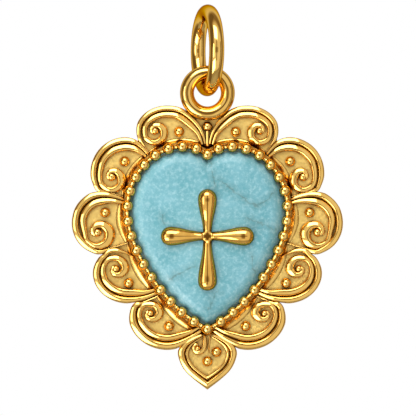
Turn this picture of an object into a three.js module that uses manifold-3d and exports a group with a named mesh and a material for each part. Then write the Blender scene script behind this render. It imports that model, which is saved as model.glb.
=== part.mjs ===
// Heart charm: a gold wirework pendant with a heart shaped stone, a cross, and a jump ring.
// Millimetres. +Z is up, the front faces -Y and +X is to the viewer's right.
// Plan positions are measured from the middle of the cross, and heights rise from the plate's
// front face, the floor. The finished group has its origin where a chain bears on the jump ring.

import * as THREE from 'three';
import { mergeVertices } from 'three/addons/utils/BufferGeometryUtils.js';
import Module from 'manifold-3d';

const wasm = await Module();
wasm.setup();

const DEGREE = Math.PI / 180;

// Heart line: the curve through the middle of the beads
const HALF_WIDTH = 8.83;
const WIDEST_Z = 2.66;
const CLEFT_Z = 8.97;
const TIP_Z = -10.2;
const CLEFT_ANGLE = 36.3 * DEGREE;
const TIP_ANGLE = 24.5 * DEGREE;
const CLEFT_PULL = 4.28;
const SHOULDER_PULL = 5.74;
const FLANK_PULL = 4.02;
const TIP_PULL = 5.3;

// Beaded wire. The beads crowd towards the cleft, most of all where the heart line's share of its
// length, raised to CROWDING_POWER, is a half. A neck starts NECK_REACH of the way to the next bead.
const BEADS = 18;
const BEAD_DIAMETER = 1.2;
const NECK_DIAMETER = 0.54;
const BEAD_CROWDING = 0.3;
const CROWDING_POWER = 0.6;
const BEAD_SIDES = 8;
const BEAD_TURN = 35 * DEGREE;
const NECK_REACH = 0.34;

// Fits
const CLEARANCE = 0.05;
const GROOVE = 0.14;
const VALLEY_LAP = 0.3;

// Plate and the rings that stand on it round the stone
const PLATE_THICKNESS = 0.9;
const SEAT_WIDTH = 0.67;
const SEAT_HEIGHT = 0.55;
const COLLAR_WIDTH = 0.5;
const COLLAR_HEIGHT = 0.7;

// Stone: its edge lies inside the heart line, and is upright to just below the seat's top
const STONE_INSET = 0.27;
const STONE_HEIGHT = 1.55;
const GIRDLE_DROP = 0.05;
const SHOULDER_WIDTH = 1.5;
const SHOULDER_RELIEF = 0.3;

// Cross and its pegs
const CROSS_TOP_ARM = 5.06;
const CROSS_BOTTOM_ARM = 5.92;
const CROSS_SIDE_ARM = 5.03;
const CROSS_WAIST = 0.74;
const CROSS_BULB = 1.76;
const CROSS_HEIGHT = 0.95;
const CROSS_WAIST_CROWN = 0.6;
const PEG_DIAMETER = 0.8;
const PEG_LENGTH = 1.0;
const PEG_SIDES = 12;

// Ornament. ORNAMENT_UNIT is the length of 1 in the tables below.
const ORNAMENT_UNIT = 1;
const RIM_HEIGHT = 0.85;
const SCROLL_HEIGHT = 0.75;
const GRANULE_DIAMETER = 1.1;
const GRANULE_SINK = 0.2;

// A rim's width along its way: from RIM_START of its full width it grows up to RIM_FULL_AT, and from
// RIM_NARROWS_AT it is drawn in to RIM_END
const RIM_START = 0.35;
const RIM_FULL_AT = 0.3;
const RIM_NARROWS_AT = 0.8;
const RIM_END = 0.7;

// A scroll's width: from ARM_START of its arm's width it grows up to ARM_FULL_AT, then narrows to
// SCROLL_WAIST between ARM_NARROWS_AT and the volute, and swells again to the volute's head, which is
// HEAD_SHARE of its radius there. From the head on the spiral keeps its shape as it tightens.
const ARM_START = 0.4;
const ARM_FULL_AT = 0.25;
const ARM_NARROWS_AT = 0.4;
const SCROLL_WAIST = 0.56;
const HEAD_SHARE = 0.88;
const VOLUTE_JOIN = -28 * DEGREE;
const SPIRAL_TIGHTNESS = 0.295;
const SPIRAL_END = 405 * DEGREE;

// Hanging eye and jump ring
const EYE_DIAMETER = 6.16;
const EYE_WIRE = 1.54;
const EYE_RISE = 3.68;
const RING_DIAMETER = 10.2;
const RING_WIRE = 1.65;
const RING_YAW = 14 * DEGREE;
const RING_PLAY = 0.3;

// The web under the eye spans the part of the eye that lies more than WEB_FROM below its middle,
// laps WEB_LAP of the wire's radius under it, and reaches a station of the top rim on each side
const WEB_FROM = 25 * DEGREE;
const WEB_LAP = 1 / 3;
const WEB_RIM_STATION = 3;

// Fineness of the faceted solids
const HEART_STEPS = 30;
const RIM_STEPS = 18;
const SCROLL_STEPS = 28;
const LEAF_STEPS = 14;
const WEB_STEPS = 13;
const SHOULDER_STEPS = 5;
const CROSS_STEPS = 5;
const CROSS_END_TURNS = [30, 55, 80];
const DOME_SIDES = 10;
const DOME_STEPS = 3;
const GRANULE_SIDES = 8;
const GRANULE_STEPS = 4;
const RING_SIDES = { eye: 8, jump: 10 };
const RING_STEPS = { eye: 32, jump: 36 };

// Reach of a cutting wall below and above the floor
const CUT_DEPTH = PLATE_THICKNESS + CLEARANCE;
const CUT_HEIGHT = STONE_HEIGHT + CROSS_HEIGHT;

// Each scallop of the right half, from the cleft down. Places are [u, h]: u runs along the heart
// line from 0 at the cleft to BORDER_SPAN at the tip, and h is the distance out from the collar
// wire. The groove is the line between the rim and the scroll wire, from its inner end round to
// the volute. The rim and the arm have their widths, and the volute its middle, where its ball is.
// The turn list holds the volute's radii at every 45 degrees from 0 to 180. A granule has its u and
// its gap to the collar wire.
const BORDER_SPAN = 18;
const SCALLOPS = [
  {
    side: 1,
    rim: 0.55,
    arm: 0.68,
    groove: [
      [0.52, -0.18], [0.91, 0.85], [1.38, 1.81], [1.86, 2.68], [2.24, 3.05],
      [2.65, 3.21], [3.06, 3.1], [3.4, 2.74], [3.65, 2.16], [3.82, 1.45],
    ],
    volute: [3.08, 1.38],
    turn: [1.16, 1.28, 1.31, 1.16, 0.97],
    ball: 0.42,
    granule: [1.95, 0.08],
  },
  {
    side: 1,
    rim: 0.62,
    arm: 0.8,
    groove: [
      [4.12, -0.5], [4.15, 0.4], [4.25, 1.3], [4.5, 2.1], [4.85, 2.8], [5.25, 3.27],
      [5.65, 3.45], [6.05, 3.38], [6.45, 3.08], [6.75, 2.7], [6.98, 2.3],
    ],
    volute: [6.27, 1.42],
    turn: [1.32, 1.4, 1.46, 1.33, 1.02],
    ball: 0.46,
    granule: [5.26, 0.38],
  },
  {
    side: 1,
    rim: 0.7,
    arm: 0.85,
    groove: [
      [7.4, -0.55], [7.33, 0.45], [7.33, 1.6], [7.47, 2.65], [7.7, 3.4], [8, 4],
      [8.35, 4.36], [8.7, 4.47], [9.07, 4.32], [9.44, 3.9], [9.76, 3.35], [9.97, 2.86],
    ],
    volute: [9.08, 2.52],
    turn: [1.4, 1.5, 1.55, 1.5, 1.34],
    ball: 0.46,
    granule: [8.16, 0.87],
  },
  {
    side: -1,
    rim: 0.72,
    arm: 0.82,
    groove: [
      [13.8, -0.55], [13.63, 0.45], [13.38, 1.4], [13.1, 2.2], [12.8, 2.9], [12.45, 3.45],
      [12.05, 3.83], [11.62, 3.98], [11.22, 3.86], [10.88, 3.46], [10.6, 2.9], [10.48, 2.4],
    ],
    volute: [11.29, 1.93],
    turn: [1.43, 1.36, 1.2, 1.1, 1.02],
    ball: 0.41,
    granule: [12.39, 0.9],
  },
  {
    side: -1,
    rim: 0.84,
    arm: 0.78,
    groove: [
      [17.6, -0.65], [17.35, 0.2], [17.05, 1.1], [16.75, 1.9], [16.4, 2.6], [16, 3.1],
      [15.55, 3.42], [15.1, 3.5], [14.7, 3.4], [14.35, 3.13], [14.05, 2.7], [13.85, 2.2],
    ],
    volute: [14.6, 1.54],
    turn: [1.23, 1.2, 1.03, 1.07, 1.02],
    ball: 0.39,
    granule: [15.92, 0.55],
  },
];

// Bottom leaf: right half of its rim, inner and outer edge as [x, z] below the heart line's tip
const LEAF_INNER = [
  [0.5, -0.95], [1.2, -1.4], [1.8, -1.95], [2.1, -2.65],
  [1.98, -3.35], [1.6, -4], [0.95, -4.6], [0, -5.24],
];
const LEAF_OUTER = [
  [0.75, -0.6], [1.6, -0.95], [2.6, -1.5], [3.22, -2.4],
  [3.12, -3.35], [2.55, -4.5], [1.5, -5.53], [0, -6.69],
];
// Leaf scroll as [x, z, width], and the ball at its end
const LEAF_SCROLL = [
  [-0.42, -1.25, 0.3], [-0.32, -1.75, 0.6], [-0.42, -2.35, 0.66], [-0.72, -2.78, 0.56],
  [-1.12, -2.86, 0.44], [-1.44, -2.6, 0.36], [-1.42, -2.24, 0.32], [-1.16, -2.16, 0.3],
];
const LEAF_BALL = { middle: [-1.1, -2.38], radius: 0.36 };
const LEAF_GRANULES = [[1, -2.56], [0, -3.6]];
const CLEFT_WIRE_WIDTH = 0.3;

const eyeWireRadius = EYE_WIRE / 2;
const eyeRadius = (EYE_DIAMETER - EYE_WIRE) / 2;
const eyeZ = CLEFT_Z + EYE_RISE + EYE_DIAMETER / 2;
const eyeFlat = eyeWireRadius * Math.cos(Math.PI / RING_SIDES.eye);
const hingeZ = eyeZ + eyeRadius;
const ringRadius = (RING_DIAMETER - RING_WIRE) / 2;
const ringZ = hingeZ - eyeWireRadius - RING_PLAY - RING_WIRE / 2 + ringRadius;
const chainSeatZ = ringZ + ringRadius - RING_WIRE / 2;

// The eye's wire lies on the floor with its centre at y = 0
const FLOOR_Y = eyeFlat;
const seatInner = -STONE_INSET + CLEARANCE;
const seatOuter = seatInner + SEAT_WIDTH;
const collarInner = seatOuter + CLEARANCE;
const collarOuter = collarInner + COLLAR_WIDTH;
const beadRadius = BEAD_DIAMETER / 2;
const beadHeight = SEAT_HEIGHT + CLEARANCE + beadRadius;
const granuleRadius = GRANULE_DIAMETER / 2;

const heartHalf = new THREE.CurvePath();
heartHalf.add(new THREE.CubicBezierCurve(
  new THREE.Vector2(0, CLEFT_Z),
  new THREE.Vector2(CLEFT_PULL * Math.cos(CLEFT_ANGLE), CLEFT_Z + CLEFT_PULL * Math.sin(CLEFT_ANGLE)),
  new THREE.Vector2(HALF_WIDTH, WIDEST_Z + SHOULDER_PULL),
  new THREE.Vector2(HALF_WIDTH, WIDEST_Z),
));
heartHalf.add(new THREE.CubicBezierCurve(
  new THREE.Vector2(HALF_WIDTH, WIDEST_Z),
  new THREE.Vector2(HALF_WIDTH, WIDEST_Z - FLANK_PULL),
  new THREE.Vector2(TIP_PULL * Math.cos(TIP_ANGLE), TIP_Z + TIP_PULL * Math.sin(TIP_ANGLE)),
  new THREE.Vector2(0, TIP_Z),
));

// A point at a fraction of the right half of the heart line, and h outside it
function beside(fraction, h) {
  const point = heartHalf.getPoint(fraction);
  const along = heartHalf.getTangent(fraction);
  return new THREE.Vector2(point.x - h * along.y, point.y + h * along.x);
}

// A place in the ornament, as [u, h] in the scallop table
function border([u, h]) {
  return beside(u / BORDER_SPAN, collarOuter + h * ORNAMENT_UNIT);
}

// A place in the bottom leaf, as [x, z] in its tables
function onTip([x, z]) {
  return new THREE.Vector2(x * ORNAMENT_UNIT, TIP_Z + z * ORNAMENT_UNIT);
}

// Samples of a smooth line through hand set points
function smoothLine(points, count) {
  const spline = new THREE.SplineCurve(points);
  return spline.getPoints(count);
}

// Unit vectors to the right of a line's direction of travel
function rightOf(points) {
  return points.map((point, i) => {
    const before = points[Math.max(i - 1, 0)];
    const after = points[Math.min(i + 1, points.length - 1)];
    const along = after.clone().sub(before).normalize();
    return new THREE.Vector2(along.y, -along.x);
  });
}

function mirrored(points) {
  return points.map((point) => new THREE.Vector2(-point.x, point.y)).reverse();
}

// Closed offset of the whole heart line, clockwise from the cleft, with even steps down each side
function heartLoop(h, steps) {
  const fineSteps = 144;
  const half = [];
  for (let i = 0; i <= fineSteps; i += 1) {
    half.push(beside(i / fineSteps, h));
  }
  const right = half.filter((point) => point.x > CLEARANCE / 2);
  const first = half.indexOf(right[0]);
  const last = half.indexOf(right[right.length - 1]);
  const top = first > 0 ? crossing(half[first - 1], half[first]) : CLEFT_Z + h / Math.cos(CLEFT_ANGLE);
  const bottom = last < half.length - 1
    ? crossing(half[last], half[last + 1])
    : TIP_Z - h / Math.cos(TIP_ANGLE);
  const line = new THREE.Path().setFromPoints([
    new THREE.Vector2(0, top),
    ...right,
    new THREE.Vector2(0, bottom),
  ]);
  const side = [];
  for (let i = 1; i < steps; i += 1) {
    side.push(line.getPoint(i / steps));
  }
  return [new THREE.Vector2(0, top), ...side, new THREE.Vector2(0, bottom), ...mirrored(side)];
}

// Height at which the line from a to b meets the middle of the charm
function crossing(a, b) {
  return a.y + (b.y - a.y) * a.x / (a.x - b.x);
}

// Plan point and height above the floor, as a point in space
function place(point, height) {
  return new THREE.Vector3(point.x, FLOOR_Y - height, point.y);
}

// Closed geometry from points and triangles, turned so that its faces point out
function closedGeometry(points, triangles) {
  let volume = 0;
  for (let i = 0; i < triangles.length; i += 3) {
    const [a, b, c] = [triangles[i], triangles[i + 1], triangles[i + 2]].map((k) => points[k]);
    volume += a.dot(b.clone().cross(c));
  }
  const index = [];
  for (let i = 0; i < triangles.length; i += 3) {
    const [a, b, c] = [triangles[i], triangles[i + 1], triangles[i + 2]];
    index.push(...(volume > 0 ? [a, b, c] : [a, c, b]));
  }
  const geometry = new THREE.BufferGeometry().setFromPoints(points);
  geometry.setIndex(index);
  return geometry;
}

// Skin over rings with equal numbers of points. Without caps its last ring is joined to its first.
function skin(rings, caps) {
  const size = rings[0].length;
  const triangles = [];
  const spans = caps ? rings.length - 1 : rings.length;
  for (let i = 0; i < spans; i += 1) {
    const near = i * size;
    const far = ((i + 1) % rings.length) * size;
    for (let k = 0; k < size; k += 1) {
      const next = (k + 1) % size;
      triangles.push(near + k, near + next, far + next, near + k, far + next, far + k);
    }
  }
  if (caps) {
    const last = (rings.length - 1) * size;
    caps[0].forEach(([a, b, c]) => triangles.push(a, c, b));
    caps[1].forEach(([a, b, c]) => triangles.push(last + a, last + b, last + c));
  }
  return closedGeometry(rings.flat(), triangles);
}

// Triangles that fill a closed plan outline, turned the way that the outline runs
function fill(outline) {
  const turn = THREE.ShapeUtils.area(outline);
  return THREE.ShapeUtils.triangulateShape(outline, []).map(([a, b, c]) => {
    const area = THREE.ShapeUtils.area([outline[a], outline[b], outline[c]]);
    return area * turn > 0 ? [a, b, c] : [a, c, b];
  });
}

// Solid over closed plan outlines with equal numbers of points, one above the other
function stack(levels) {
  const rings = levels.map(({ outline, height }) => outline.map((point) => place(point, height)));
  return skin(rings, [fill(levels[0].outline), fill(levels[levels.length - 1].outline)]);
}

// Solid with upright walls over a closed plan outline
function prism(outline, low, high) {
  return stack([{ outline, height: low }, { outline, height: high }]);
}

// Half round wire with a flat base. A station has its plan point, side direction and width.
const ARCH = [0, 45, 90, 135, 180].map((angle) => angle * DEGREE);
const ARCH_FILL = [[0, 1, 2], [0, 2, 3], [0, 3, 4]];
function wire(stations, height, base = 0) {
  const rings = stations.map(({ point, right, width, crown = 1 }) => ARCH.map((angle) => {
    const spot = point.clone().addScaledVector(right, Math.cos(angle) * width / 2);
    return place(spot, base + height * crown * Math.sin(angle));
  }));
  return skin(rings, [ARCH_FILL, ARCH_FILL]);
}

// Dome that stands on the floor
function dome(point, radius, height) {
  const profile = [new THREE.Vector2(0, 0)];
  for (let i = 0; i < DOME_STEPS; i += 1) {
    const angle = 90 * DEGREE * i / DOME_STEPS;
    profile.push(new THREE.Vector2(radius * Math.cos(angle), height * Math.sin(angle)));
  }
  profile.push(new THREE.Vector2(0, height));
  const geometry = new THREE.LatheGeometry(profile, DOME_SIDES);
  geometry.rotateX(Math.PI);
  geometry.translate(point.x, FLOOR_Y, point.y);
  return mergeVertices(stripped(geometry));
}

// Plan line along a wire's side, the right one for a side of 1 and the left one for -1, with room beyond it
function edgeOf(stations, side, room = 0) {
  return stations.map(({ point, right, width }) => (
    point.clone().addScaledVector(right, side * (width / 2 + room))));
}

// Upright wall of the same plan as a wire, wider all round, for cutting what lies beside it
function wireWall(stations) {
  const outline = [...edgeOf(stations, 1, CLEARANCE), ...edgeOf(stations, -1, CLEARANCE).reverse()];
  return prism(outline, -CUT_DEPTH, CUT_HEIGHT);
}

// Geometry left with its positions alone, so that its shared points can be merged
function stripped(geometry) {
  geometry.deleteAttribute('normal');
  geometry.deleteAttribute('uv');
  return geometry;
}

function toSolid(geometry) {
  return new wasm.Manifold(new wasm.Mesh({
    numProp: 3,
    vertProperties: new Float32Array(geometry.getAttribute('position').array),
    triVerts: new Uint32Array(geometry.getIndex().array),
  }));
}

function toGeometry(solid) {
  const mesh = solid.getMesh();
  const geometry = new THREE.BufferGeometry();
  geometry.setAttribute('position', new THREE.BufferAttribute(new Float32Array(mesh.vertProperties), 3));
  geometry.setIndex(Array.from(mesh.triVerts));
  return geometry;
}

function cut(geometry, cutters) {
  return toGeometry(cutters.reduce((solid, cutter) => solid.subtract(toSolid(cutter)), toSolid(geometry)));
}

function join(geometries) {
  return toGeometry(geometries.map(toSolid).reduce((whole, solid) => whole.add(solid)));
}

// The same geometry on the other side of the charm
function otherSide(geometry) {
  const position = geometry.getAttribute('position');
  const points = [];
  for (let i = 0; i < position.count; i += 1) {
    points.push(new THREE.Vector3(-position.getX(i), position.getY(i), position.getZ(i)));
  }
  return closedGeometry(points, Array.from(geometry.getIndex().array));
}

// The groove of a scallop, from its inner end to the volute
function grooveLine(groove, steps) {
  const knots = groove.map((knot) => new THREE.Vector2(...knot));
  return smoothLine(knots, steps).map(({ x, y }) => border([x, y]));
}

// Stations of a scallop's rim: thin at its inner end, full round the scallop, drawn in at its end
function rimStations({ side, rim, groove }) {
  const line = grooveLine(groove, RIM_STEPS);
  return rightOf(line).map((right, i) => {
    const t = i / RIM_STEPS;
    const growth = THREE.MathUtils.lerp(RIM_START, 1, Math.min(1, t / RIM_FULL_AT));
    const past = Math.max(0, (t - RIM_NARROWS_AT) / (1 - RIM_NARROWS_AT));
    const width = rim * ORNAMENT_UNIT * growth * THREE.MathUtils.lerp(1, RIM_END, past);
    const point = line[i].clone().addScaledVector(right, -side * width / 2);
    return { point, right, width };
  });
}

// Stations of a scallop's scroll: beside the rim, round the volute and in to its ball
function scrollStations({ side, arm, groove, volute, turn }) {
  const { lerp, smoothstep } = THREE.MathUtils;
  const line = grooveLine(groove, RIM_STEPS);
  const sides = rightOf(line);
  const centre = border(volute);
  const knots = [];
  for (let i = 0; i < line.length; i += 2) {
    const t = i / RIM_STEPS;
    const grown = arm * lerp(ARM_START, 1, smoothstep(t, 0, ARM_FULL_AT));
    const width = ORNAMENT_UNIT * lerp(grown, SCROLL_WAIST, smoothstep(t, ARM_NARROWS_AT, 1));
    const point = line[i].clone().addScaledVector(sides[i], side * (GROOVE + width / 2));
    const ray = point.clone().sub(centre);
    const angle = Math.atan2(-side * ray.y, ray.x);
    if (t > ARM_NARROWS_AT && angle > VOLUTE_JOIN) {
      break;
    }
    knots.push([point.x, point.y, width]);
  }
  const addKnot = (angle, radius, width) => {
    const out = radius * ORNAMENT_UNIT;
    const place = [centre.x + out * Math.cos(angle), centre.y - side * out * Math.sin(angle)];
    knots.push([...place, width * ORNAMENT_UNIT]);
  };
  const step = Math.PI / (turn.length - 1);
  const head = turn[turn.length - 1];
  turn.forEach((radius, i) => {
    addKnot(i * step, radius, lerp(SCROLL_WAIST, HEAD_SHARE * head, smoothstep(i * step, step, Math.PI)));
  });
  for (let angle = Math.PI + step; angle <= SPIRAL_END; angle += step) {
    const radius = head * Math.exp(-SPIRAL_TIGHTNESS * (angle - Math.PI));
    addKnot(angle, radius, HEAD_SHARE * radius);
  }
  return wireStations(knots, SCROLL_STEPS);
}

// Evenly spaced stations on a smooth wire through [x, z, width] knots
function wireStations(knots, count) {
  const line = smoothLine(knots.map(([x, z]) => new THREE.Vector2(x, z)), count);
  const widths = smoothLine(knots.map(([, , width], i) => new THREE.Vector2(i, width)), count);
  return rightOf(line).map((right, i) => ({ point: line[i], right, width: widths[i].y }));
}

const GOLD = { color: 0xdda94a, roughness: 0.18, metalness: 1 };
const SATIN_GOLD = { color: 0xc39a55, roughness: 0.5, metalness: 1 };
const PALE_BLUE = { color: 0x82bfc9, roughness: 0.35, metalness: 0 };

const charm = new THREE.Group();
function addPiece(name, geometry, look) {
  const mesh = new THREE.Mesh(geometry, new THREE.MeshStandardMaterial(look));
  mesh.name = name;
  charm.add(mesh);
  return mesh;
}

// Rims and scrolls, with each rim trimmed by the tail of the next
const rims = SCALLOPS.map((scallop) => rimStations(scallop));
const scrolls = SCALLOPS.map((scallop) => scrollStations(scallop));
const rimWalls = rims.map((stations) => wireWall(stations));
const collarCut = prism(heartLoop(collarOuter + CLEARANCE, 2 * HEART_STEPS), -CUT_DEPTH, CUT_HEIGHT);

const eyeOutline = [];
for (let i = 0; i < RING_STEPS.eye; i += 1) {
  const angle = 2 * Math.PI * i / RING_STEPS.eye;
  const radius = EYE_DIAMETER / 2 + CLEARANCE;
  eyeOutline.push(new THREE.Vector2(radius * Math.cos(angle), eyeZ + radius * Math.sin(angle)));
}
const eyeCut = prism(eyeOutline, -CUT_DEPTH, CUT_HEIGHT);

const rimCutters = [
  [collarCut, rimWalls[1], eyeCut],
  [collarCut, rimWalls[2]],
  [collarCut],
  [collarCut, rimWalls[2]],
  [collarCut, rimWalls[3]],
];
rims.forEach((stations, i) => {
  const geometry = cut(wire(stations, RIM_HEIGHT), rimCutters[i]);
  addPiece(`rim_right_${i + 1}`, geometry, GOLD);
  addPiece(`rim_left_${i + 1}`, otherSide(geometry), GOLD);
});
scrolls.forEach((stations, i) => {
  const { volute, ball } = SCALLOPS[i];
  const walls = rimWalls.filter((wall, k) => Math.abs(k - i) < 2);
  const head = dome(border(volute), ball * ORNAMENT_UNIT, SCROLL_HEIGHT);
  const geometry = cut(join([wire(stations, SCROLL_HEIGHT), head]), [collarCut, ...walls]);
  addPiece(`scroll_right_${i + 1}`, geometry, GOLD);
  addPiece(`scroll_left_${i + 1}`, otherSide(geometry), GOLD);
});

// Bottom leaf: one rim from the heart down to the point and up again, and its small scroll
const leafInner = smoothLine(LEAF_INNER.map(onTip), LEAF_STEPS);
const leafOuter = smoothLine(LEAF_OUTER.map(onTip), LEAF_STEPS);
const leafEdges = [
  [...leafInner, ...mirrored(leafInner).slice(1)],
  [...leafOuter, ...mirrored(leafOuter).slice(1)],
];
const leafStations = leafEdges[0].map((inner, i) => {
  const across = leafEdges[1][i].clone().sub(inner);
  return {
    point: inner.clone().addScaledVector(across, 0.5),
    right: across.clone().normalize(),
    width: across.length(),
  };
});
const tipCutters = [rimWalls[4], otherSide(rimWalls[4]), collarCut];
addPiece('tip_rim', cut(wire(leafStations, RIM_HEIGHT), tipCutters), GOLD);
const leafKnots = LEAF_SCROLL.map(([x, z, width]) => [...onTip([x, z]), width * ORNAMENT_UNIT]);
const leafScroll = wire(wireStations(leafKnots, LEAF_STEPS), SCROLL_HEIGHT);
const leafBall = dome(onTip(LEAF_BALL.middle), LEAF_BALL.radius * ORNAMENT_UNIT, SCROLL_HEIGHT);
addPiece('tip_scroll', cut(join([leafScroll, leafBall]), [collarCut, wireWall(leafStations)]), GOLD);

// Small wire in the notch between the top two scallops, under its granule
const cleftGranule = new THREE.Vector2(0, CLEFT_Z + EYE_RISE - CLEARANCE - granuleRadius);
const cleftWireTop = cleftGranule.y - granuleRadius - CLEARANCE;
const cleftStations = [0, 0.5, 1].map((t) => ({
  point: new THREE.Vector2(0, THREE.MathUtils.lerp(CLEFT_Z, cleftWireTop, t)),
  right: new THREE.Vector2(1, 0),
  width: CLEFT_WIRE_WIDTH,
}));
const cleftCutters = [collarCut, rimWalls[0], otherSide(rimWalls[0])];
addPiece('cleft_wire', cut(wire(cleftStations, SCROLL_HEIGHT), cleftCutters), GOLD);

// Granules: small balls with a flat where they sit on the floor
function addGranule(name, point) {
  const foot = Math.asin((granuleRadius - GRANULE_SINK) / granuleRadius);
  const profile = [];
  for (let i = 0; i <= GRANULE_STEPS; i += 1) {
    const angle = THREE.MathUtils.lerp(-Math.PI / 2, foot, i / GRANULE_STEPS);
    const out = i === 0 ? 0 : granuleRadius * Math.cos(angle);
    profile.push(new THREE.Vector2(out, GRANULE_SINK - granuleRadius + granuleRadius * Math.sin(angle)));
  }
  const base = profile[GRANULE_STEPS].y;
  profile.push(new THREE.Vector2(0, base));
  const geometry = new THREE.LatheGeometry(profile, GRANULE_SIDES);
  geometry.translate(point.x, FLOOR_Y - base, point.y);
  addPiece(name, geometry, GOLD);
}
SCALLOPS.forEach(({ granule: [u, gap] }, i) => {
  const point = border([u, gap + granuleRadius / ORNAMENT_UNIT]);
  addGranule(`granule_right_${i + 1}`, point);
  addGranule(`granule_left_${i + 1}`, new THREE.Vector2(-point.x, point.y));
});
addGranule('granule_cleft', cleftGranule);
addGranule('granule_tip_upper', onTip(LEAF_GRANULES[0]));
addGranule('granule_tip_lower', onTip(LEAF_GRANULES[1]));

// Base plate: every scallop, the leaf and the web under the eye, in one sheet
function scallopPlan({ side, groove }, stations) {
  const edge = edgeOf(stations, -side);
  const [startU] = groove[0];
  const [endU, endH] = groove[groove.length - 1];
  const pastEnd = endU + side * VALLEY_LAP;
  const onHeart = (u) => beside(u / BORDER_SPAN, 0);
  return [...edge, border([pastEnd, endH - VALLEY_LAP]), onHeart(pastEnd), onHeart(startU)];
}
const rightPlans = SCALLOPS.map((scallop, i) => scallopPlan(scallop, rims[i]));
const leafPlan = [...leafEdges[1], new THREE.Vector2(0, TIP_Z)];
const eyeWeb = [];
for (let i = 0; i <= WEB_STEPS; i += 1) {
  const angle = THREE.MathUtils.lerp(WEB_FROM - Math.PI, -WEB_FROM, i / WEB_STEPS);
  const direction = new THREE.Vector2(Math.cos(angle), Math.sin(angle));
  eyeWeb.push(new THREE.Vector2(0, eyeZ).addScaledVector(direction, eyeRadius - WEB_LAP * eyeWireRadius));
}
const onRim = rims[0][WEB_RIM_STATION].point;
eyeWeb.push(onRim, new THREE.Vector2(0, CLEFT_Z), new THREE.Vector2(-onRim.x, onRim.y));
const middlePlans = [heartLoop(collarOuter, HEART_STEPS), leafPlan, eyeWeb];
const plans = [...middlePlans, ...rightPlans, ...rightPlans.map(mirrored)];
addPiece('base_plate', join(plans.map((plan) => prism(plan, -PLATE_THICKNESS, 0))), SATIN_GOLD);

// Heart shaped rings that stand on the plate
function heartRing(profile) {
  return skin(profile.map(([h, height]) => heartLoop(h, HEART_STEPS).map((point) => place(point, height))));
}
addPiece('bezel_seat', heartRing([
  [seatInner, 0],
  [seatOuter, 0],
  [seatOuter, SEAT_HEIGHT],
  [seatInner, SEAT_HEIGHT],
]), GOLD);
const collarMiddle = (collarInner + collarOuter) / 2;
addPiece('collar_wire', heartRing(ARCH.map((angle) => [
  collarMiddle + Math.cos(angle) * COLLAR_WIDTH / 2,
  COLLAR_HEIGHT * Math.sin(angle),
])), GOLD);

// Beaded wire: bead and neck stations all round the heart line
function beadPlace(k) {
  const crowding = BEAD_CROWDING * Math.sin(Math.PI * Math.pow(Math.abs(k) / BEADS, CROWDING_POWER));
  const fraction = (Math.abs(k) - crowding) / BEADS;
  const point = beside(fraction, 0);
  const along = heartHalf.getTangent(fraction);
  return k < 0
    ? { point: point.setX(-point.x), along: along.setY(-along.y) }
    : { point, along };
}
function beadedWire() {
  const rings = [];
  const addRing = (centre, along, radius) => {
    const across = new THREE.Vector3(along.y, 0, -along.x);
    const ring = [];
    for (let i = 0; i < BEAD_SIDES; i += 1) {
      const angle = 2 * Math.PI * i / BEAD_SIDES;
      const point = place(centre, beadHeight + radius * Math.sin(angle));
      ring.push(point.addScaledVector(across, radius * Math.cos(angle)));
    }
    rings.push(ring);
  };
  for (let k = 1 - BEADS; k <= BEADS; k += 1) {
    const middle = beadPlace(k);
    if (k === 0 || k === BEADS) {
      middle.along = new THREE.Vector2(k === 0 ? 1 : -1, 0);
    }
    const before = beadPlace(k - NECK_REACH);
    const after = k === BEADS ? beadPlace(NECK_REACH - BEADS) : beadPlace(k + NECK_REACH);
    addRing(before.point, before.along, NECK_DIAMETER / 2);
    for (const reach of [-1, 0, 1]) {
      const shift = reach * beadRadius * Math.sin(BEAD_TURN);
      const radius = reach === 0 ? beadRadius : beadRadius * Math.cos(BEAD_TURN);
      addRing(middle.point.clone().addScaledVector(middle.along, shift), middle.along, radius);
    }
    addRing(after.point, after.along, NECK_DIAMETER / 2);
  }
  return skin(rings);
}
addPiece('beaded_wire', beadedWire(), GOLD);

// Stone: upright edge in the seat, then a shoulder that rises between the beads to the flat crown
function pegAt(z, radius, low, high) {
  const geometry = new THREE.CylinderGeometry(radius, radius, high - low, PEG_SIDES);
  return mergeVertices(stripped(geometry)).translate(0, FLOOR_Y - (low + high) / 2, z);
}
const pegZ = {
  upper: CROSS_TOP_ARM - CROSS_BULB / 2,
  lower: CROSS_BULB / 2 - CROSS_BOTTOM_ARM,
};
const shoulder = new THREE.QuadraticBezierCurve(
  new THREE.Vector2(-STONE_INSET, SEAT_HEIGHT - GIRDLE_DROP),
  new THREE.Vector2(-beadRadius - SHOULDER_RELIEF, beadHeight + SHOULDER_RELIEF / 2),
  new THREE.Vector2(-STONE_INSET - SHOULDER_WIDTH, STONE_HEIGHT),
);
const stoneProfile = [new THREE.Vector2(-STONE_INSET, 0), ...shoulder.getPoints(SHOULDER_STEPS)];
const stoneLevels = stoneProfile.map(({ x, y }) => ({ outline: heartLoop(x, HEART_STEPS), height: y }));
const stoneBlank = stack(stoneLevels);
const pegHoles = Object.values(pegZ).map((z) => (
  pegAt(z, PEG_DIAMETER / 2 + CLEARANCE, STONE_HEIGHT - PEG_LENGTH - CLEARANCE, CUT_HEIGHT)));
addPiece('stone', cut(stoneBlank, pegHoles), PALE_BLUE);

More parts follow.
